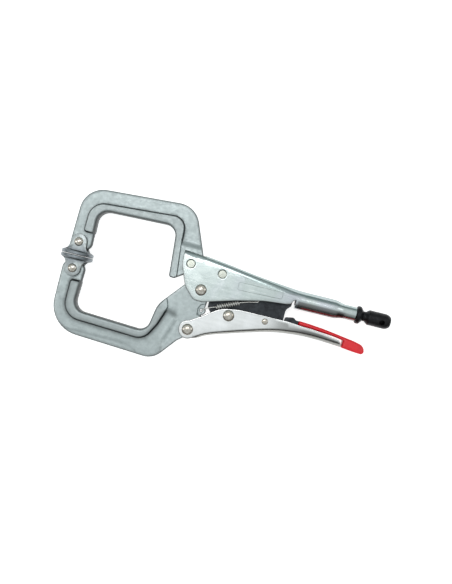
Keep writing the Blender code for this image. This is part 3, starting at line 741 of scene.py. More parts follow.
def outwards(data):
    """Turns every face to point outwards."""
    mesh = bmesh.new()
    mesh.from_mesh(data)
    bmesh.ops.recalc_face_normals(mesh, faces=mesh.faces)
    mesh.to_mesh(data)
    mesh.free()


def corner_line(corners, step=1.0):
    """An open line from corners (a, b) or (a, b, radius), with its bends rounded and long sides divided."""
    line = [corners[0][:2]]
    for before, corner, after in zip(corners, corners[1:], corners[2:]):
        here = Vector(corner[:2])
        if len(corner) == 2:
            line.append(tuple(here))
            continue
        back, on = Vector(before[:2]) - here, Vector(after[:2]) - here
        reach = min(corner[2], back.length * 0.48, on.length * 0.48)
        start, end = here + back.normalized() * reach, here + on.normalized() * reach
        for k in range(7):
            t = k / 6
            line.append(tuple(start * (1 - t) ** 2 + here * 2 * t * (1 - t) + end * t * t))
    line.append(corners[-1][:2])
    return [tuple(p) for p in evened(line, step, closed=False)]


TREES = {}  # filled by main


# ---------------------------------------------------------------- the forged jaws

TIP = -REACH
PANEL_STEP = 0.45  # half width of the slope between the panel and the rib
HUB_SLOPE = 2.8  # half width of the slope between the panel and the root
BAND_SLOPE = 0.9
LUG_SLOPE = 0.25
RIB_FOOT = 1.1  # how far the fillet at the rib's foot reaches
HOLE_LIP = 0.3


def jaw(name, outline, rib, hub, lug, holes, band, finish, painted_shade_width=1.0, shades=()):
    """A forged C arm with drafted, rounded edges: a web, a raised rib along the throat and a thick root.
    The lug is thinner, the band beside the rim is sunk, and shades are (line, strength) of creases given
    painted shade."""
    creases = [
        (rib, True, (-RIB_FOOT, -0.55, -0.25, 0.25, 0.55, RIB_FOOT), False),
        (hub, True, (-HUB_SLOPE, -HUB_SLOPE / 2, 0.0, HUB_SLOPE / 2, HUB_SLOPE), False),
    ]
    if lug:
        creases.append((lug, True, (-LUG_SLOPE, LUG_SLOPE), False))
    if band:
        creases.append((band, True, (-BAND_SLOPE, 0.0, BAND_SLOPE), False))
    rows = (0.1, 0.3, 0.5, 0.85, 1.3, 1.9, 2.7, 3.6)
    spots, faces = flat_mesh(outline, holes, rows, creases, 2.2, EDGE_STEP)
    d = distance(spots, evened(outline, EDGE_STEP))
    near = signed(spots, rib)
    on_rib = ease(near, PANEL_STEP)
    on_hub = ease(signed(spots, hub), HUB_SLOPE)
    top = np.maximum(WEB + (RIB - WEB) * on_rib, WEB + (HUB - WEB) * on_hub)
    rise = 1.3 + 0.5 * on_rib - 0.6 * on_hub
    width = 2.6 - 0.6 * on_rib - 1.6 * on_hub
    # the foot of the rib keeps a shallow fillet
    top = top + 0.35 * np.exp(-np.abs(near + RIB_FOOT) / 0.8) * (near < 0) * (1 - on_hub)
    z = edge_round(d, top, width, rise)
    if band:
        sunk = ease(signed(spots, band), BAND_SLOPE)
        z = np.where(d < 1e-6, 0, z - 0.3 * sunk * (1 - on_rib) * np.clip(d / 0.3, 0, 1))
    if lug:
        z = np.where(d < 1e-6, 0, z + (np.minimum(z, 1.5) - z) * ease(signed(spots, lug), LUG_SLOPE))
    for hole in holes:
        ring = distance(spots, evened(hole, FINE_STEP))
        z = z - HOLE_LIP * (1 - ease(ring - HOLE_LIP, HOLE_LIP)) * (ring > 1e-6)
    z = np.maximum(z, 0)
    z[d < 1e-6] = 0
    points, skin = body(spots, faces, z)
    thing = piece(name, points, skin, finish, sharp=50)
    # painted shade: a dark painted shadow along the rib's foot, darkening along the outline and along the
    # given creases
    painted_shade = np.exp(-np.abs(near + PANEL_STEP) / (0.7 * painted_shade_width)) * (1 - on_hub) * (d > 1.0)
    painted_shade = np.maximum(painted_shade, 1.1 * np.exp(-d / 0.8))
    for line, share in shades:
        painted_shade = np.maximum(painted_shade, share * np.exp(-distance(spots, line, closed=False) / 0.8))
    # face tones the rib darker than the panel, rim marks the worn shoulder
    marks = {"rim": np.exp(-np.abs(d - 1.1) / 0.7), "painted_shade": painted_shade, "face": ease(near, 0.8) * (1 - on_hub)}
    for label, values in marks.items():
        mark(thing, label, np.concatenate([values, values]))
    return thing


def fixed_jaw(finish):
    """The C arm that the upper handle's walls hold."""
    tip_y = JAW_TIP_FIXED
    outline = rounded([
        (TIP - 8.1, tip_y, 6), (TIP - 6.4, JAW_TOP - 5.0, 20), (-20.4, JAW_TOP + 1.2, 19),
        (-3.1, 23.4, 2), (21.5, 20.4, 3), (21.5, 10.4, 3), (-11.0, 10.4, 2), (-17.0, 8.8, 2), (-24.2, 4.0, 2),
        (-28.7, 4.0, 2), (-32.0, JAW_TOP - 19.4, 9.5), (TIP + 9.6, JAW_TOP - 21.8, 9.5),
        (TIP + 10.3, tip_y, 6),
    ])
    edge = [
        (TIP + 16.0, 24.0), (TIP + 1.8, 24.0, 2), (TIP + 2.6, JAW_TOP - 16.8, 13),
        (-26.0, JAW_TOP - 11.0, 11), (-24.8, 33.5, 2), (-22.0, 7.0, 2), (-22.4, -4.0),
    ]
    rib = rounded(edge + [(TIP + 16.0, -4.0)])
    hub = rounded([(-26.5, 33.5), (-26.5, -6.0), (40.0, -6.0), (40.0, 33.5)])
    holes = [circle(centre, JAW_PIN_R + FIT) for centre in JAW_RIVETS]
    holes.append(circle(FIXED_PAD_PIVOT, PAD_PIN_R + FIT, 30))
    return jaw("fixed_jaw_forging", outline, rib, hub, None, holes, None, finish)


def lower_jaw(finish):
    """The C arm that turns on the main pivot, with the handle's lobe and the spring's lug."""
    tip_y = JAW_TIP_MOVING
    start = [
        (TIP + 9.8, tip_y, 6), (TIP - 9.4, tip_y, 6), (TIP - 9.8, JAW_BOTTOM + 4.4, 26),
        (-25.4, JAW_BOTTOM - 0.8, 16), (-9.6, -45.4, 5),
    ]
    lobes = arc(HANDLE_PIVOT, 8.0, -105, 20) + arc(SPRING_HOLE, 3.8, -75, 45) + arc((0, 0), 9.5, -38, 140)
    throat = [(-13.5, 2.4, 3), (-32.0, -19.8, 20), (-36.0, -43.8, 9), (TIP + 8.0, -40.6, 9)]
    outline = rounded(start + lobes + throat, least=0.2)
    edge = [
        (TIP + 16.0, -17.5), (TIP + 1.0, -17.5, 2), (TIP + 0.7, JAW_BOTTOM + 16.8, 14),
        (-36.5, JAW_BOTTOM + 13.6, 12), (-28.4, -36.0, 10), (-22.8, -20.0, 3), (-25.0, -13.8, 2),
        (-34.0, -8.0),
    ]
    rib = rounded(edge + [(-34.0, 40.0), (TIP + 16.0, 40.0)])
    hub = rounded([
        (-27.0, -22.0), (-14.0, -25.0, 4), (-16.5, -36.0, 10), (-22.0, -50.0, 10), (-14.0, -90.0),
        (60.0, -90.0), (60.0, 40.0), (-40.0, 40.0), (-40.0, -6.0), (-27.0, -14.0),
    ])
    lug_x, lug_y = SPRING_HOLE
    lug = rounded([
        (lug_x - 1.2, lug_y + 5.0), (lug_x - 2.9, lug_y + 1.5), (lug_x - 2.6, lug_y - 4.2),
        (lug_x + 9.0, lug_y - 5.2), (lug_x + 9.0, lug_y + 8.0),
    ])
    band = rounded([
        (TIP + 3.0, -57.2, 4), (-50.0, -57.6, 6), (-40.0, -62.0, 3), (-36.0, -90.0),
        (-130.0, -90.0), (-130.0, -30.0), (TIP - 6.0, -30.0),
    ])
    holes = [
        circle((0, 0), PIN_R + FIT), circle(HANDLE_PIVOT, PIN_R + FIT),
        circle(SPRING_HOLE, 1.2, 15), circle(MOVING_PAD_PIVOT, PAD_PIN_R + FIT, 30),
    ]
    # a faint line of painted shade along the ridge between the panel and the root
    ridge = [(-13.5, -24.0), (-19.0, -42.0), (-25.0, -53.0)]
    return jaw("lower_jaw_forging", outline, rib, hub, lug, holes, band, finish, 2.0, [(ridge, 0.16)])


# ---------------------------------------------------------------- the folded handles

# a spine's stations: how far along, where its back is, half its width, and the radius of its fold
UPPER_SPINE = (
    (-30.0, 30.6, CHANNEL_OUT, 4.5), (-24.0, 29.9, CHANNEL_OUT, 4.5), (0.0, 28.0, CHANNEL_OUT, 4.5),
    (20.0, 25.6, CHANNEL_OUT, 4.5), (38.0, 23.0, CHANNEL_OUT, 4.5), (55.0, 21.1, CHANNEL_OUT, 5.0),
    (69.0, 19.9, 8.4, 5.9), (79.0, SCREW_Y + TUBE_R + 0.03, TUBE_R + 0.03, TUBE_R + 0.03),
    (100.0, SCREW_Y + TUBE_R + 0.03, TUBE_R + 0.03, TUBE_R + 0.03),
)
LOWER_SPINE = (
    (-14.0, 47.0, CHANNEL_OUT, 4.5), (0.0, 44.0, CHANNEL_OUT, 4.5), (8.0, 37.7, CHANNEL_OUT, 4.5),
    (16.0, 34.0, CHANNEL_OUT, 4.5), (40.0, 26.5, CHANNEL_OUT, 4.8), (58.0, 21.3, CHANNEL_OUT, 5.4),
    (70.0, 18.8, CHANNEL_OUT, 6.6), (88.0, 16.9, CHANNEL_OUT, 7.2), (102.0, 16.9, CHANNEL_OUT, 7.2),
    (124.0, 18.3, CHANNEL_OUT, 7.0), (135.0, 19.2, CHANNEL_OUT, 7.0),
)


def along(stations, x, column, blur=5.0):
    """A value of the stations at x, with its bends smoothed over the blur each way."""
    xs = [s[0] for s in stations]
    ys = [s[column] for s in stations]
    return sum(np.interp(x + shift, xs, ys) for shift in np.linspace(-blur, blur, 9)) / 9


def folded(name, stations, open_path, slot_end, side, holes, finish, label=None):
    """A handle folded from sheet: two walls joined by a spine along its back, open opposite. side is -1 when
    the spine is below. No spine is left in front of slot_end, where the jaw comes through."""
    x_end = open_path[-1][0]
    ridge = np.array([(x, float(along(stations, x, 1))) for x in np.arange(x_end + 6.0, -30.0, -0.8)])
    xs = np.append(np.arange(x_end - 0.8, slot_end + 0.3, -0.8), slot_end)
    back = np.array([(x, float(along(stations, x, 1))) for x in xs])
    outline = anticlockwise(np.array([tuple(p) for p in open_path] + back.tolist()))
    back = np.concatenate([[open_path[-1]], back])
    fold_reach = 4.8
    fold_rows = [fold_reach * (1 - math.cos(math.radians(a))) for a in (12, 24, 36, 48, 60, 75, 90)]
    creases = [
        (back, False, fold_rows, False),
        (beside(back, SHEET, closed=False), False, (0.0, 0.4, 1.1), True),
        ([(slot_end, back[-1][1] + 2.0), (slot_end, back[-1][1] - 8.0)], False, (0.0,), True),
    ]
    if label is not None:
        creases.append((label, True, (-0.12, 0.12, 0.5), False))
    spots, faces = flat_mesh(outline, holes, (0.08, 0.2, 0.4, 0.7), creases, 2.4, EDGE_STEP)
    x = spots[:, 0]
    half, fold = along(stations, x, 2), along(stations, x, 3)
    depth = distance(spots, ridge, closed=False)
    z = half - fold + np.sqrt(np.clip(fold ** 2 - (fold - np.minimum(depth, fold)) ** 2, 0, None))
    bend = np.maximum(fold - SHEET, 0.4)
    inner = np.minimum(np.clip(depth - SHEET, 0, None), bend)
    z_in = half - SHEET - bend + np.sqrt(np.clip(bend ** 2 - (bend - inner) ** 2, 0, None))
    z_in = np.where(x < slot_end - 1e-4, CHANNEL_IN, z_in)
    d = distance(spots, np.array(open_path), closed=False)
    for hole in holes:
        d = np.minimum(d, distance(spots, evened(hole, FINE_STEP)))
    lip = 0.35 * (1 - np.sqrt(1 - (1 - np.clip(d / 0.4, 0, 1)) ** 2))
    z = z - lip
    z_in = np.minimum(z_in + lip, z - 0.05)
    middle = spots[faces].mean(1)
    hollow = (distance(middle, ridge, closed=False) > SHEET) | (middle[:, 0] < slot_end)
    proud = None if label is None else 0.3 * ease(signed(spots, label), 0.12)
    points, skin = body(spots, faces, z, z_in, hollow, proud)
    if side < 0:
        points = [(a, -b, c) for a, b, c in points]
        skin = [f[::-1] for f in skin]
    thing = piece(name, points, skin, finish, sharp=40)
    rim = np.exp(-d / 0.5)
    mark(thing, "rim", np.concatenate([rim, rim, np.full(len(points) - 2 * len(rim), 0.2)]))
    return thing


def front_line(stations, slot_end, front):
    """The walls' upper edge in front of the spine, where the fold is cut away."""
    xs = np.append(np.arange(slot_end - 0.05, front + 0.3, -0.8), front)
    return [(float(x), float(along(stations, x, 1)) - 0.62) for x in xs]


def upper_handle(finish):
    """The handle that holds the fixed jaw, with its tube and the spring's tab."""
    slot_end = -2.4
    front = front_line(UPPER_SPINE, slot_end, -20.3)
    front[-1] = (*front[-1], 1)
    last = TUBE_FRONT + 8.0
    open_path = rounded(front + [
        (-20.3, 17.0, 20), (-13.5, 0.0, 12), (-4.5, -9.4, 7), (4.0, -9.2, 7), (30.0, -1.6, 60),
        (52.0, 3.6, 60), (TUBE_FRONT - 8.0, 5.4, 2), (TUBE_FRONT - 3.6, 6.6, 2), (TUBE_FRONT - 2.0, 9.6, 1.5),
        (TUBE_FRONT + 1.5, SCREW_Y, 1), (last, SCREW_Y), (last, float(along(UPPER_SPINE, last, 1))),
    ], closed=False)
    holes = [circle((0, 0), PIN_R + FIT)] + [circle(centre, JAW_PIN_R + 0.25) for centre in JAW_RIVETS]
    label = rounded([(29.0, 7.4, 1), (66.0, 8.6, 1), (66.0, 14.2, 1), (29.0, 13.8, 1)])
    handle = folded("upper_handle_shell", UPPER_SPINE, open_path, slot_end, 1, holes, finish, label)

    # painted shade and reflection: face greys the spine's fold band; the darker mark darkens the open edges,
    # the band's inner line, the spine's back, the tube's underside, and lays a dark painted reflection at the
    # swage
    def shade(spots):
        x, y = spots[:, 0], spots[:, 1]
        depth = along(UPPER_SPINE, x, 1) - y
        band = np.interp(x, (-20, 0, 30, 60, 80), (3.6, 3.7, 4.8, 5.4, 4.6))
        face = ease(band - depth, 0.3) - 0.55 * np.exp(-np.abs(depth - 0.45 * band) / 0.5)
        tube = ease(x - TUBE_FRONT - 1.0, 1.2)
        edge = distance(spots[:, :2], np.array(open_path[:-2]), closed=False) + 9.0 * tube
        painted_shade = 0.9 * np.exp(-edge / 0.7)
        painted_shade = np.maximum(painted_shade, 0.4 * np.exp(-np.abs(depth - band) / 0.3))
        painted_shade = np.maximum(painted_shade, 0.5 * np.exp(-depth / 0.5))
        under = 0.66 * ease(SCREW_Y - 0.9 - y, 0.9)
        patch = ease(3.0 - np.abs(x - 116.0), 1.0) * ease(9.2 - y, 0.8)
        painted_shade = np.maximum(painted_shade, tube * np.maximum(under - 0.18 * ease(x - 120.0, 1.5), patch))
        return {"face": np.clip(face, 0, 1), "painted_shade": painted_shade}

    swage = HANDLE_END - 17.0
    bore = TUBE_R - SHEET
    profile = corner_line([
        (bore, TUBE_FRONT), (TUBE_R, TUBE_FRONT, 0.5), (TUBE_R, swage, 5), (TUBE_TIP_R, swage + 5.5, 5),
        (TUBE_TIP_R, HANDLE_END, 0.6), (SCREW_R + FIT, HANDLE_END, 0.4), (SCREW_R + FIT, swage + 5.0, 1),
        (bore, swage, 1), (bore, TUBE_FRONT),
    ], 2.0)
    tube = turned("tube", profile, (0, SCREW_Y, 0), "x", finish, 72)
    x, y = SPRING_TAB
    corners = [(x - 1, y - 1.1), (x + 1, y - 1.1), (x + 1, y + 1.1), (x - 1, y + 1.1)]
    tab = plate("tab", corners, 2.3, 7.0, finish, 0.2)
    return painted(fused(handle, [tube, tab], sharp=40), shade)


def lower_handle(finish):
    """The handle that swings on the lower jaw, drawn with its spine up and turned over at the end."""
    slot_end = 7.0
    pivot = (HANDLE_PIVOT.x, -HANDLE_PIVOT.y)
    front = front_line(LOWER_SPINE, slot_end, 5.6)
    open_path = rounded(front + arc(pivot, 7.3, 75, 265, 5) + [
        (6.0, 20.6, 20), (19.0, 11.0, 20), (34.0, 8.2, 40), (76.0, 8.0, 60), (LOWER_END - 17.0, 10.5, 60),
        (LOWER_END - 1.2, 12.6, 4), (LOWER_END + 0.5, float(along(LOWER_SPINE, LOWER_END + 0.5, 1))),
    ], closed=False)
    holes = [
        circle(pivot, PIN_R + FIT), circle((TOGGLE_PIVOT.x, -TOGGLE_PIVOT.y), PIN_R + FIT),
        circle((LEVER_PIVOT.x, -LEVER_PIVOT.y), LEVER_PIN_R + FIT, 24),
    ]
    handle = folded("lower_handle_shell", LOWER_SPINE, open_path, slot_end, -1, holes, finish)

    # painted shade: face greys the spine's fold band and the rear half; the darker mark darkens the rear half
    # away from the spine, the spine's back and the front edges
    def shade(spots):
        x, y = spots[:, 0], -spots[:, 1]
        depth = along(LOWER_SPINE, x, 1) - y
        edge = distance(np.stack([x, y], 1), np.array(open_path[:-1]), closed=False)
        band = np.interp(x, (10, 40, 60, 80, 120), (2.4, 3.0, 3.4, 3.0, 2.4))
        face = ease(band - depth, 0.5)
        rear = np.interp(x, (56, 70, 90), (0.0, 0.6, 1.0)) * ease(edge - 1.3, 0.7)
        painted_shade = np.maximum(0.6 * rear * ease(depth - 1.0, 3.0), 0.75 * np.exp(-depth / 0.5))
        painted_shade = np.maximum(painted_shade, 0.95 * np.exp(-edge / 0.5) * (x < 66))
        return {"face": np.maximum(face, 0.5 * rear), "painted_shade": painted_shade}

    return painted(handle, shade)


# ---------------------------------------------------------------- the linkage, screw, pads and rivets

def plate(name, outline, low, high, finish, bevel):
    """A flat plate between two heights, with softened edges."""
    mesh = bmesh.new()
    ring = [mesh.verts.new((x, y, low)) for x, y in anticlockwise(outline)]
    floor = mesh.faces.new(ring)
    lifted = bmesh.ops.extrude_face_region(mesh, geom=[floor])["geom"]
    upper = [v for v in lifted if isinstance(v, bmesh.types.BMVert)]
    bmesh.ops.translate(mesh, verts=upper, vec=(0, 0, high - low))
    bmesh.ops.recalc_face_normals(mesh, faces=mesh.faces)
    edges = [e for e in mesh.edges if e.is_manifold and e.calc_face_angle(0) > math.radians(50)]
    bmesh.ops.bevel(
        mesh, geom=edges, offset=bevel, segments=3, profile=0.5, affect="EDGES", clamp_overlap=True
    )
    points = [tuple(v.co) for v in mesh.verts]
    skin = [tuple(v.index for v in f.verts) for f in mesh.faces]
    mesh.free()
    return piece(name, points, skin, finish, sharp=40)


def slab(name, outline, holes, half, soft, finish, bosses=()):
    """A flat body with softened edges, and with round bosses given as (centre, radius, half thickness)."""
    rings = [(circle(centre, radius, 60), True, (-0.3, 0.0, 0.3), False) for centre, radius, _ in bosses]
    rows = sorted({round(soft * (1 - math.cos(math.radians(a))), 3) for a in (20, 40, 60, 90)} | {soft + 0.4})
    spots, faces = flat_mesh(outline, holes, rows, rings, 1.8, FINE_STEP)
    d = distance(spots, evened(outline, FINE_STEP))
    thick = np.full(len(spots), float(half))
    for centre, radius, tall in bosses:
        away = np.hypot(spots[:, 0] - centre[0], spots[:, 1] - centre[1])
        thick = np.maximum(thick, half + (tall - half) * ease(radius - away, 0.15))
    drop = min(soft, half) * (1 - np.sqrt(np.clip(1 - (1 - np.clip(d / soft, 0, 1)) ** 2, 0, 1)))
    z = np.maximum(thick - drop, 0.0)
    if soft >= half:
        z[d < 1e-6] = 0
    points, skin = body(spots, faces, z)
    thing = piece(name, points, skin, finish, sharp=45)
    rim = np.exp(-d / 0.5)
    mark(thing, "rim", np.concatenate([rim, rim]))
    return thing


def toggle_link(finish):
    """The plate between the lower handle and the screw's tip, with a boss at each end."""
    tx, ty = TOGGLE_PIVOT.x, TOGGLE_PIVOT.y
    nx, ny = NOSE
    web = rounded([
        (tx - 9.0, ty - 7.0, 5), (11.6, -16.0, 2), (8.6, -12.4, 1.5), (8.5, -5.6, 2),
        (tx - 6.0, ty + 13.4, 20), (tx + 12.0, ty + 20.0, 20), (nx - 6.0, ny + 3.0, 6), (nx, ny + 3.2, 3),
        (nx + 3.2, ny, 2), (nx + 3.1, ny - 6.6, 1.5), (nx - 0.6, 0.9, 5), (nx - 0.7, -8.7, 1), (57.6, -8.7),
        (tx + 18.0, ty + 6.3, 10), (tx + 4.0, ty - 6.0, 3),
    ])
    bosses = [((tx, ty), 6.4, HUB), (NOSE, NOSE_R - 0.1, 3.0)]
    return slab("toggle_link_plate", web, [circle((tx, ty), PIN_R + FIT)], 1.6, 0.35, finish, bosses)


def release_lever(dark, vinyl):
    """The lever inside the lower handle, and the grip over its tail."""
    px, py = LEVER_PIVOT.x, LEVER_PIVOT.y
    start = 84.5
    end = LOWER_END
    outline = rounded([
        (px - 9.5, py + 2.6, 1.2), (px, py + 3.3, 10), (start - 11.9, py + 3.2, 1),
        (start - 11.4, py + 7.4, 1.2), (start - 4.6, py + 8.8, 2), (start - 2.6, py + 7.0, 0.8),
        (start - FIT, py + 7.0), (start - FIT, py + 3.4), (start - 12.0, py - 0.8, 10),
        (px + 3.0, py - 3.8, 4), (px - 5.0, py - 3.6, 4), (px - 9.5, py - 0.2, 2),
    ])
    holes = [circle((px, py), LEVER_PIN_R + FIT, 24)]
    lever = slab("release_lever_plate", outline, holes, 4.6, 0.8, dark)
    grip = rounded([
        (start, -5.2, 1.0), (95.0, -5.8, 30), (end - 17.0, -6.7, 30), (end - 7.0, -8.0, 30),
        (end + 11.0, -10.6, 20), (end + 19.5, -12.6, 7), (end + 21.4, -20.2, 4.2), (end + 10.0, -19.4, 10),
        (end + 1.4, -18.4, 1), (end + 1.4, -12.4, 1), (end - 2.5, -11.6, 2), (end - 8.0, -10.9, 20),
        (95.0, -9.4, 40), (start, -9.0, 1.0),
    ])
    return lever, slab("vinyl_grip", grip, [], 5.2, 2.4, vinyl)


def screw_pieces(finish):
    """The stop ring, and the screw with its neck and its knurled, cross-drilled knob."""
    ring_start = HANDLE_END + FIT
    ring_end = ring_start + RING_LENGTH
    neck = ring_end + FIT
    knob = neck + NECK_LENGTH
    end = knob + KNOB_LENGTH
    ring = corner_line([
        (SCREW_R + FIT, ring_start), (6.8, ring_start, 0.3), (RING_R, ring_start + 0.7, 0.5),
        (RING_R, ring_start + 3.0, 0.6), (4.7, ring_end, 0.3), (SCREW_R + FIT, ring_end),
        (SCREW_R + FIT, ring_start),
    ], 1.0)
    stop = turned("stop_ring_turned", ring, (0, SCREW_Y, 0), "x", finish, 64)
    tip = NOSE[0] + NOSE_R + TIP_GAP
    profile = corner_line([
        (0.0, tip), (SCREW_R - 0.9, tip, 0.3), (SCREW_R, tip + 1.0, 0.3), (SCREW_R, neck - 0.6),
        (SCREW_R, neck), (NECK_R, neck + 0.1, 0.3), (NECK_R, knob, 0.5), (KNOB_R, knob + 2.6, 0.8),
        (KNOB_R, end - 3.2, 2.2), (4.3, end, 1.2), (0.0, end),
    ], 0.16)
    screw = turned(
        "adjusting_screw_turned", profile, (0, SCREW_Y, 0), "x", finish, 72, 40,
        thread=(THREAD_DEPTH, THREAD_PITCH, tip + 0.8, neck - 1.2),
        knurl=(0.22, 26, 34.0, knob + 3.6, end - 12.0),
    )
    hole_at = (end - CROSS_HOLE_BACK, SCREW_Y, 0)
    cutters = []
    for side in (1, -1):
        bar = [(0, side * 0.5), (CROSS_HOLE_R, side * 0.5), (CROSS_HOLE_R, side * 5.8), (0, side * 5.8)]
        cutters.append(turned("bar", bar, hole_at, "z", finish, 32))
        lip = [(0, side * 7.5), (3.3, side * 7.5), (1.9, side * 5.5), (0, side * 5.5)]
        cutters.append(turned("lip", lip, hole_at, "z", finish, 32))
    middle = MAIN + Vector((0, SCREW_Y, 0)) * MM
    turn = Matrix.Rotation(CROSS_HOLE_TURN, 4, "X")
    for cutter in cutters:
        cutter.data.transform(Matrix.Translation(middle) @ turn @ Matrix.Translation(-middle))
    return stop, fused(screw, cutters, "DIFFERENCE", 40)


def swivel_pad(name, pivot, finish):
    """A disc with two ears that straddle the jaw's tip."""
    side = 1 if pivot.y > 3.0 else -1
    face = pivot.y - side * 11.0
    disc = corner_line([
        (0.0, 0.25), (9.6, 0.25, 0.3), (10.2, 0.0, 0.3), (12.9, 0.0, 0.4), (13.25, 0.5, 0.4),
        (13.25, 2.6, 0.5), (11.0, 3.7, 0.6), (0.0, 4.1),
    ], 1.2)
    disc = [(r, side * h) for r, h in disc]
    base = turned(name, disc, (pivot.x, face, 0), "y", finish, 96, 40)
    sweep = arc(pivot, 6.6, 0, 180, 6) if side > 0 else arc(pivot, 6.6, -180, 0, 6)
    feet = [(x, face + side * h) for x, h in ((7.0, 6.6), (7.9, 5.0), (9.4, 3.6), (11.0, 2.6))]
    left = [(pivot.x - x, y) for x, y in feet]
    right = [(pivot.x + x, y) for x, y in feet]
    outline = rounded((sweep + left + right[::-1]) if side > 0 else (sweep + right + left[::-1]), 0.3)
    ears = [
        plate("ear", outline, low, high, finish, 0.5)
        for low, high in ((EAR_IN, EAR_OUT), (-EAR_OUT, -EAR_IN))
    ]
    pad = fused(base, ears, sharp=40)
    drill_r = PAD_PIN_R + 0.25
    bar = [(0, -9), (drill_r, -9), (drill_r, 9), (0, 9)]
    drill = turned("drill", bar, (pivot.x, pivot.y, 0), "z", finish, 36)

    # painted shade: face greys the disc, dark painted lines run along the disc's faces, and a painted shadow
    # outlines the ears
    def shade(spots):
        out = side * (spots[:, 1] - face)
        reach = np.hypot(spots[:, 0] - pivot.x, spots[:, 2])
        edge = distance(spots[:, :2], outline)
        line = np.maximum(np.exp(-out / 0.3), np.exp(-np.abs(out - 3.3) / 0.35)) * (reach > 9.0)
        ear = 0.95 * np.exp(-edge / 0.2) * (out > 3.9)
        return {"face": ease(4.2 - out, 0.2), "painted_shade": np.maximum(line, ear)}

    return painted(fused(pad, [drill], "DIFFERENCE", 40), shade)


def rivet(name, centre, pin, head, rise, grip, finish):
    """A rivet with a domed head on each side. A flush one has head equal to pin."""
    if head > pin:
        brim = 0.25
        top = [(pin, grip - 0.6), (pin, grip + 0.02), (head - brim, grip + 0.02), (head, grip + 0.15)]
        for a in np.linspace(0, math.pi / 2, 11):
            top.append((head * math.cos(a), grip + brim + (rise - brim) * math.sin(a)))
        top[-1] = (0.0, grip + rise)
    else:
        top = [
            (pin, grip - 0.4), (pin - 0.05, grip - 0.2), (pin - 0.35, grip + 0.08), (pin * 0.5, grip + rise),
            (0.0, grip + rise),
        ]
    profile = [(r, -z) for r, z in top[::-1]] + top
    return turned(name, profile, (centre[0], centre[1], 0), "z", finish, 56, 40)


def spring_line():
    """The wire's middle line: a hook in the jaw's lug, the coils, and an eye on the handle's tab."""
    height = 3.8
    start = Vector((15.0, -10.8, height))
    end = Vector((33.6, -2.6, height))
    across = Vector((-(end - start).y, (end - start).x, 0)).normalized()
    turns = 11
    each = 20
    coils = []
    for i in range(turns * each + 1):
        turn = math.tau * i / each
        ramp = min(1.0, 2 * min(i, turns * each - i) / each)
        offset = across * math.cos(turn) + Vector((0, 0, 1)) * math.sin(turn)
        coils.append(start.lerp(end, i / (turns * each)) + offset * SPRING_COIL_R * ramp)
    hx, hy = SPRING_HOLE
    tx, ty = SPRING_TAB
    hook = [
        (hx + 1.6, hy + 1.0, -2.4), (hx + 0.4, hy + 0.3, -2.5), (hx, hy, -1.6), (hx, hy, 1.9),
        (hx + 0.6, hy + 0.5, 2.8), (hx + 3.0, hy + 2.4, height - 0.2), (hx + 8.0, hy + 4.6, height),
    ]
    eye_r = 1.9
    eye = [(tx - 6.0, ty - 3.4, height), (tx - 1.0, ty - 2.3, height), (tx + 1.2, ty - 1.8, height)]
    eye += [(tx + eye_r * math.cos(a), ty + eye_r * math.sin(a), height) for a in np.linspace(-0.7, 2.6, 9)]
    return smoothed(hook) + coils + smoothed(eye)


def smoothed(line):
    """A smooth curve through the points."""
    points = [Vector(p) for p in line]
    out = []
    for i in range(len(points) - 1):
        a, b, c, d = points[max(i - 1, 0)], points[i], points[i + 1], points[min(i + 2, len(points) - 1)]
        for k in range(4):
            t = k / 4
            squared = (2 * a - 5 * b + 4 * c - d) * t ** 2
            out.append(0.5 * ((2 * b) + (c - a) * t + squared + (3 * b - a - 3 * c + d) * t ** 3))
    return out + [points[-1]]


# ---------------------------------------------------------------- what a user may change

class PliersFinishes(bpy.types.PropertyGroup):
    """Colours of the finishes."""

    forged: bpy.props.FloatVectorProperty(
        name="Forged zinc", description="Plated skin of the jaws and pads", subtype="COLOR", size=4,
        default=tone(178, 187, 187), min=0, max=1)
    walls: bpy.props.FloatVectorProperty(
        name="Pale zinc", description="Polished sheet of the upper handle", subtype="COLOR", size=4,
        default=tone(206, 215, 213), min=0, max=1)
    chrome: bpy.props.FloatVectorProperty(
        name="Chrome", description="Polished sheet of the lower handle", subtype="COLOR", size=4,
        default=tone(250, 251, 251), min=0, max=1)
    rivets: bpy.props.FloatVectorProperty(
        name="Nickel", description="Rivet heads", subtype="COLOR", size=4,
        default=tone(208, 204, 196), min=0, max=1)
    linkage: bpy.props.FloatVectorProperty(
        name="Blackened steel", description="Link and release lever", subtype="COLOR", size=4,
        default=tone(58, 62, 66), min=0, max=1)
    screw: bpy.props.FloatVectorProperty(
        name="Black oxide", description="Adjusting screw and its ring", subtype="COLOR", size=4,
        default=tone(34, 34, 37), min=0, max=1)
    vinyl: bpy.props.FloatVectorProperty(
        name="Vinyl", description="Dipped grip of the release lever", subtype="COLOR", size=4,
        default=tone(246, 24, 40), min=0, max=1)


class PliersStudio(bpy.types.PropertyGroup):
    """The room round the pliers."""

    floor: bpy.props.FloatVectorProperty(
        name="Floor", description="Colour of the plain floor", subtype="COLOR", size=4,
        default=(0.93, 0.93, 0.93, 1))
    height: bpy.props.FloatProperty(
        name="Camera height", description="From the pliers' middle plane", unit="LENGTH", default=0.6)
    turn: bpy.props.FloatProperty(
        name="Camera turn", description="About the vertical", subtype="ANGLE", default=math.radians(14))


FINISHES = {}  # filled by main


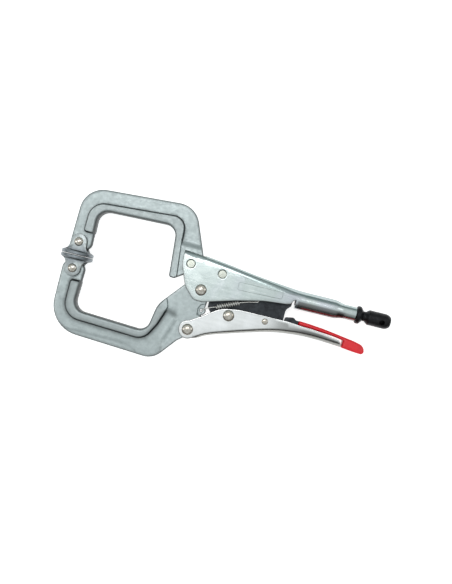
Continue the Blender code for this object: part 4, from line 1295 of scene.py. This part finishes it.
def mix_finishes(chosen):
    """The ten finishes, from the chosen colours."""
    # in each finish the face colour and the darkest colour are painted shade (the forged face colour is also
    # the jaws' darker rib tone)
    FINISHES["forged"] = finish(
        "forged zinc skin", tuple(chosen.forged), tone(164, 173, 173), 0.92, 0.36, 0.52, mottle=260.0,
        grain=1500.0, depth=0.06, worn=tone(204, 211, 211), face=tone(156, 163, 163), painted_shade=tone(38, 40, 40))
    FINISHES["pad"] = finish(
        "turned zinc skin", tone(190, 197, 197), tone(160, 167, 167), 0.92, 0.3, 0.46, mottle=320.0,
        grain=1700.0, depth=0.04, face=tone(116, 122, 128), painted_shade=tone(28, 30, 32))
    FINISHES["walls"] = finish(
        "pale zinc sheet", tuple(chosen.walls), tone(192, 202, 200), 0.97, 0.16, 0.3, mottle=90.0,
        grain=2600.0, depth=0.008, streak=(60.0, 900.0, 900.0), tint=tone(210, 212, 222),
        face=tone(150, 164, 164), painted_shade=tone(62, 54, 50))
    FINISHES["chrome"] = finish(
        "polished chrome", tuple(chosen.chrome), tone(238, 239, 238), 0.94, 0.12, 0.26, mottle=70.0,
        grain=2600.0, depth=0.005, streak=(45.0, 700.0, 700.0), worn=tone(254, 254, 254),
        face=tone(132, 130, 124), painted_shade=tone(58, 58, 54))
    FINISHES["rivets"] = finish(
        "nickel rivet", tuple(chosen.rivets), tone(172, 164, 152), 1.0, 0.14, 0.28, mottle=500.0,
        grain=3000.0, depth=0.01)
    FINISHES["flush"] = finish(
        "flush rivet", tone(197, 201, 192), tone(182, 185, 174), 0.95, 0.22, 0.36, mottle=500.0,
        grain=3000.0, depth=0.012)
    FINISHES["linkage"] = finish(
        "blackened steel", tuple(chosen.linkage), tone(36, 38, 42), 0.6, 0.34, 0.55, mottle=300.0,
        grain=1600.0, depth=0.03, worn=tone(112, 116, 120))
    FINISHES["screw"] = finish(
        "black oxide", tuple(chosen.screw), tone(20, 20, 22), 0.65, 0.3, 0.5, mottle=400.0,
        worn=tone(90, 90, 94))
    FINISHES["wire"] = finish(
        "spring wire", tone(250, 250, 246), tone(222, 221, 214), 0.45, 0.22, 0.36, mottle=600.0,
        grain=2600.0, depth=0.01)
    FINISHES["vinyl"] = finish(
        "dipped vinyl", tuple(chosen.vinyl), tone(228, 18, 34), 0.0, 0.3, 0.46, mottle=120.0,
        grain=900.0, depth=0.03, coat=0.35)


def stands_for(thing, node_name):
    """Rides the piece on the node's body and hides that node."""
    for body_name, nodes in frame["record"]["behaviour"]["bodies"].items():
        if node_name in nodes:
            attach(thing, body_name)
    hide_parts(node_name)


class PLIERS_OT_fixed_jaw(bpy.types.Operator):
    """Builds the fixed C arm"""

    bl_idname = "pliers.fixed_jaw"
    bl_label = "Fixed Jaw"

    def execute(self, context):
        stands_for(fixed_jaw(FINISHES["forged"]), "fixed_jaw")
        return {"FINISHED"}


class PLIERS_OT_lower_jaw(bpy.types.Operator):
    """Builds the moving C arm"""

    bl_idname = "pliers.lower_jaw"
    bl_label = "Lower Jaw"

    def execute(self, context):
        stands_for(lower_jaw(FINISHES["forged"]), "lower_jaw")
        return {"FINISHED"}


class PLIERS_OT_handles(bpy.types.Operator):
    """Builds the two folded handles"""

    bl_idname = "pliers.handles"
    bl_label = "Handles"

    def execute(self, context):
        stands_for(upper_handle(FINISHES["walls"]), "upper_handle")
        stands_for(lower_handle(FINISHES["chrome"]), "lower_handle")
        return {"FINISHED"}


class PLIERS_OT_linkage(bpy.types.Operator):
    """Builds the toggle link, the release lever and its grip"""

    bl_idname = "pliers.linkage"
    bl_label = "Linkage"

    def execute(self, context):
        stands_for(toggle_link(FINISHES["linkage"]), "toggle_link")
        lever, grip = release_lever(FINISHES["linkage"], FINISHES["vinyl"])
        stands_for(lever, "release_lever")
        stands_for(grip, "release_lever_grip")
        return {"FINISHED"}


class PLIERS_OT_screw(bpy.types.Operator):
    """Builds the adjusting screw and its ring"""

    bl_idname = "pliers.screw"
    bl_label = "Adjusting Screw"

    def execute(self, context):
        stop, screw = screw_pieces(FINISHES["screw"])
        stands_for(stop, "stop_ring")
        stands_for(screw, "adjusting_screw")
        return {"FINISHED"}


class PLIERS_OT_pads(bpy.types.Operator):
    """Builds the two swivel pads"""

    bl_idname = "pliers.pads"
    bl_label = "Swivel Pads"

    def execute(self, context):
        for name, pivot in (("fixed_swivel_pad", FIXED_PAD_PIVOT), ("moving_swivel_pad", MOVING_PAD_PIVOT)):
            stands_for(swivel_pad(f"{name}_turned", pivot, FINISHES["pad"]), name)
        return {"FINISHED"}


class PLIERS_OT_rivets(bpy.types.Operator):
    """Builds every rivet"""

    bl_idname = "pliers.rivets"
    bl_label = "Rivets"

    def execute(self, context):
        nickel, flush = FINISHES["rivets"], FINISHES["flush"]
        for name, centre, pin, head, grip, skin in (
            ("main_pivot_rivet", (0.0, 0.0), PIN_R, PIVOT_HEAD, CHANNEL_OUT, nickel),
            ("handle_pivot_rivet", HANDLE_PIVOT, PIN_R, PIVOT_HEAD, CHANNEL_OUT, nickel),
            ("toggle_pivot_rivet", TOGGLE_PIVOT, PIN_R, PIVOT_HEAD, CHANNEL_OUT, nickel),
            ("release_lever_rivet", LEVER_PIVOT, LEVER_PIN_R, LEVER_HEAD, CHANNEL_OUT, nickel),
            ("fixed_pad_rivet", FIXED_PAD_PIVOT, PAD_PIN_R, PAD_HEAD, EAR_OUT, nickel),
            ("moving_pad_rivet", MOVING_PAD_PIVOT, PAD_PIN_R, PAD_HEAD, EAR_OUT, nickel),
            ("fixed_jaw_rivet_front", JAW_RIVETS[0], JAW_PIN_R, FLUSH_HEAD, CHANNEL_OUT, flush),
            ("fixed_jaw_rivet_rear", JAW_RIVETS[1], JAW_PIN_R, FLUSH_HEAD, CHANNEL_OUT, flush),
        ):
            stands_for(rivet(f"{name}_formed", centre, pin, *head, grip, skin), name)
        return {"FINISHED"}


class PLIERS_OT_spring(bpy.types.Operator):
    """Builds the opening spring"""

    bl_idname = "pliers.spring"
    bl_label = "Opening Spring"

    def execute(self, context):
        line = [MAIN + Vector(p) * MM for p in spring_line()]
        settings = {"Wire Radius": SPRING_WIRE_R * MM, "Sides": 10, "Finish": FINISHES["wire"]}
        wire = grown("opening_spring_wire", line, TREES["bent"], settings)
        outwards(wire.data)
        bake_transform(wire)
        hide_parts("opening_spring")
        return {"FINISHED"}


def room(tree, up):
    """The room's light by direction: bright overhead, grey-green towards up, dark brown the other way."""
    back = tree.nodes["Background"]
    way = node(tree, "ShaderNodeTexCoord").outputs["Generated"]
    high = node(tree, "ShaderNodeSeparateXYZ", None, i0=way).outputs[2]
    side = node(tree, "ShaderNodeVectorMath", {"operation": "DOT_PRODUCT"}, i0=way, i1=tuple(up))
    share = ranged(tree, side.outputs["Value"], -1.0, 1.0, 0.0, 1.0)
    walls = node(tree, "ShaderNodeValToRGB", None, Fac=share)
    stops = walls.color_ramp.elements
    stops[0].position, stops[0].color = 0.0, (0.028, 0.022, 0.018, 1)
    stops[1].position, stops[1].color = 1.0, (0.2, 0.27, 0.26, 1)
    between = ((0.3, (0.05, 0.04, 0.034, 1)), (0.5, (0.22, 0.23, 0.23, 1)), (0.72, (0.34, 0.4, 0.39, 1)))
    for place, colour in between:
        stops.new(place).color = colour
    sky = mixed(tree, ranged(tree, high, 0.25, 0.8, 0.0, 1.0), walls.outputs["Color"], (0.74, 0.78, 0.79, 1))
    tree.links.new(sky, back.inputs["Color"])
    back.inputs["Strength"].default_value = 1.0


class PLIERS_OT_stage(bpy.types.Operator):
    """Builds the floor, the lights and the camera"""

    bl_idname = "pliers.stage"
    bl_label = "Stage"

    def execute(self, context):
        studio = context.scene.pliers_studio
        wide = 3.0
        data = bpy.data.meshes.new("floor")
        corners = [(-wide, -wide, 0), (wide, -wide, 0), (wide, wide, 0), (-wide, wide, 0)]
        data.from_pydata(corners, [], [(0, 1, 2, 3)])
        floor = bpy.data.objects.new("floor", data)
        context.scene.collection.objects.link(floor)
        paper = bpy.data.materials.new("white paper")
        paper.use_nodes = True
        tree = paper.node_tree
        shader = tree.nodes["Principled BSDF"]
        coords = node(tree, "ShaderNodeTexCoord").outputs["Object"]
        tooth = noise(tree, coords, 40.0, 4.0)
        share = ranged(tree, tooth, 0.3, 0.7, 0.0, 1.0)
        white = mixed(tree, share, tuple(studio.floor), (0.9, 0.9, 0.9, 1))
        tree.links.new(white, shader.inputs["Base Color"])
        shader.inputs["Roughness"].default_value = 0.8
        shader.inputs["Emission Color"].default_value = (1, 1, 1, 1)
        shader.inputs["Emission Strength"].default_value = 0.7
        data.materials.append(paper)
        world = bpy.data.worlds.new("studio")
        context.scene.world = world
        world.use_nodes = True
        up = Vector((-math.sin(studio.turn), math.cos(studio.turn), 0))
        right = Vector((math.cos(studio.turn), math.sin(studio.turn), 0))
        room(world.node_tree, up)
        middle = MAIN + Vector((20.3, 3.3, 0)) * MM
        for name, across, along_up, high, size, watts in (
            ("key", -0.1, 0.3, 1.3, (0.7, 0.25), 2.6),
            ("left", -1.1, 0.1, 0.9, (0.3, 0.7), 1.4),
            ("right", 1.1, 0.15, 0.9, (0.3, 0.7), 1.0),
        ):
            lamp = bpy.data.lights.new(name, "AREA")
            lamp.shape = "RECTANGLE"
            lamp.size, lamp.size_y = size
            lamp.energy = watts
            light = bpy.data.objects.new(name, lamp)
            light.location = middle + right * across + up * along_up + Vector((0, 0, high))
            light.rotation_euler = (middle - light.location).to_track_quat("-Z", "Y").to_euler()
            context.scene.collection.objects.link(light)
        eye = bpy.data.cameras.new("camera")
        eye.sensor_fit = "VERTICAL"
        eye.sensor_height = 36.0
        eye.lens = 44.6
        eye.clip_start = 0.01
        camera = bpy.data.objects.new("camera", eye)
        camera.location = middle + Vector((0, 0, studio.height))
        camera.rotation_euler = (0, 0, studio.turn)
        context.scene.collection.objects.link(camera)
        context.scene.camera = camera
        context.scene.view_settings.view_transform = "Standard"
        return {"FINISHED"}


OPERATORS = (
    PLIERS_OT_fixed_jaw, PLIERS_OT_lower_jaw, PLIERS_OT_handles, PLIERS_OT_linkage, PLIERS_OT_screw,
    PLIERS_OT_pads, PLIERS_OT_rivets, PLIERS_OT_spring, PLIERS_OT_stage,
)


class PLIERS_PT_panel(bpy.types.Panel):
    """Lists the pieces"""

    bl_label = "Locking Pliers"
    bl_idname = "PLIERS_PT_panel"
    bl_space_type = "VIEW_3D"
    bl_region_type = "UI"
    bl_category = "Pliers"

    def draw(self, context):
        for key in PliersFinishes.__annotations__:
            self.layout.prop(context.scene.pliers_finishes, key)
        for key in PliersStudio.__annotations__:
            self.layout.prop(context.scene.pliers_studio, key)
        for operator in OPERATORS:
            self.layout.operator(operator.bl_idname)


CLASSES = (PliersFinishes, PliersStudio, *OPERATORS, PLIERS_PT_panel)


def register():
    for made in CLASSES:
        bpy.utils.register_class(made)
    bpy.types.Scene.pliers_finishes = bpy.props.PointerProperty(type=PliersFinishes)
    bpy.types.Scene.pliers_studio = bpy.props.PointerProperty(type=PliersStudio)


def unregister():
    del bpy.types.Scene.pliers_studio
    del bpy.types.Scene.pliers_finishes
    for made in reversed(CLASSES):
        bpy.utils.unregister_class(made)


def main():
    register()
    TREES["turned"] = turning_tree()
    TREES["bent"] = bending_tree()
    mix_finishes(bpy.context.scene.pliers_finishes)
    for operator in OPERATORS:
        group, name = operator.bl_idname.split(".")
        getattr(getattr(bpy.ops, group), name)()


if __name__ == "__main__":
    main()
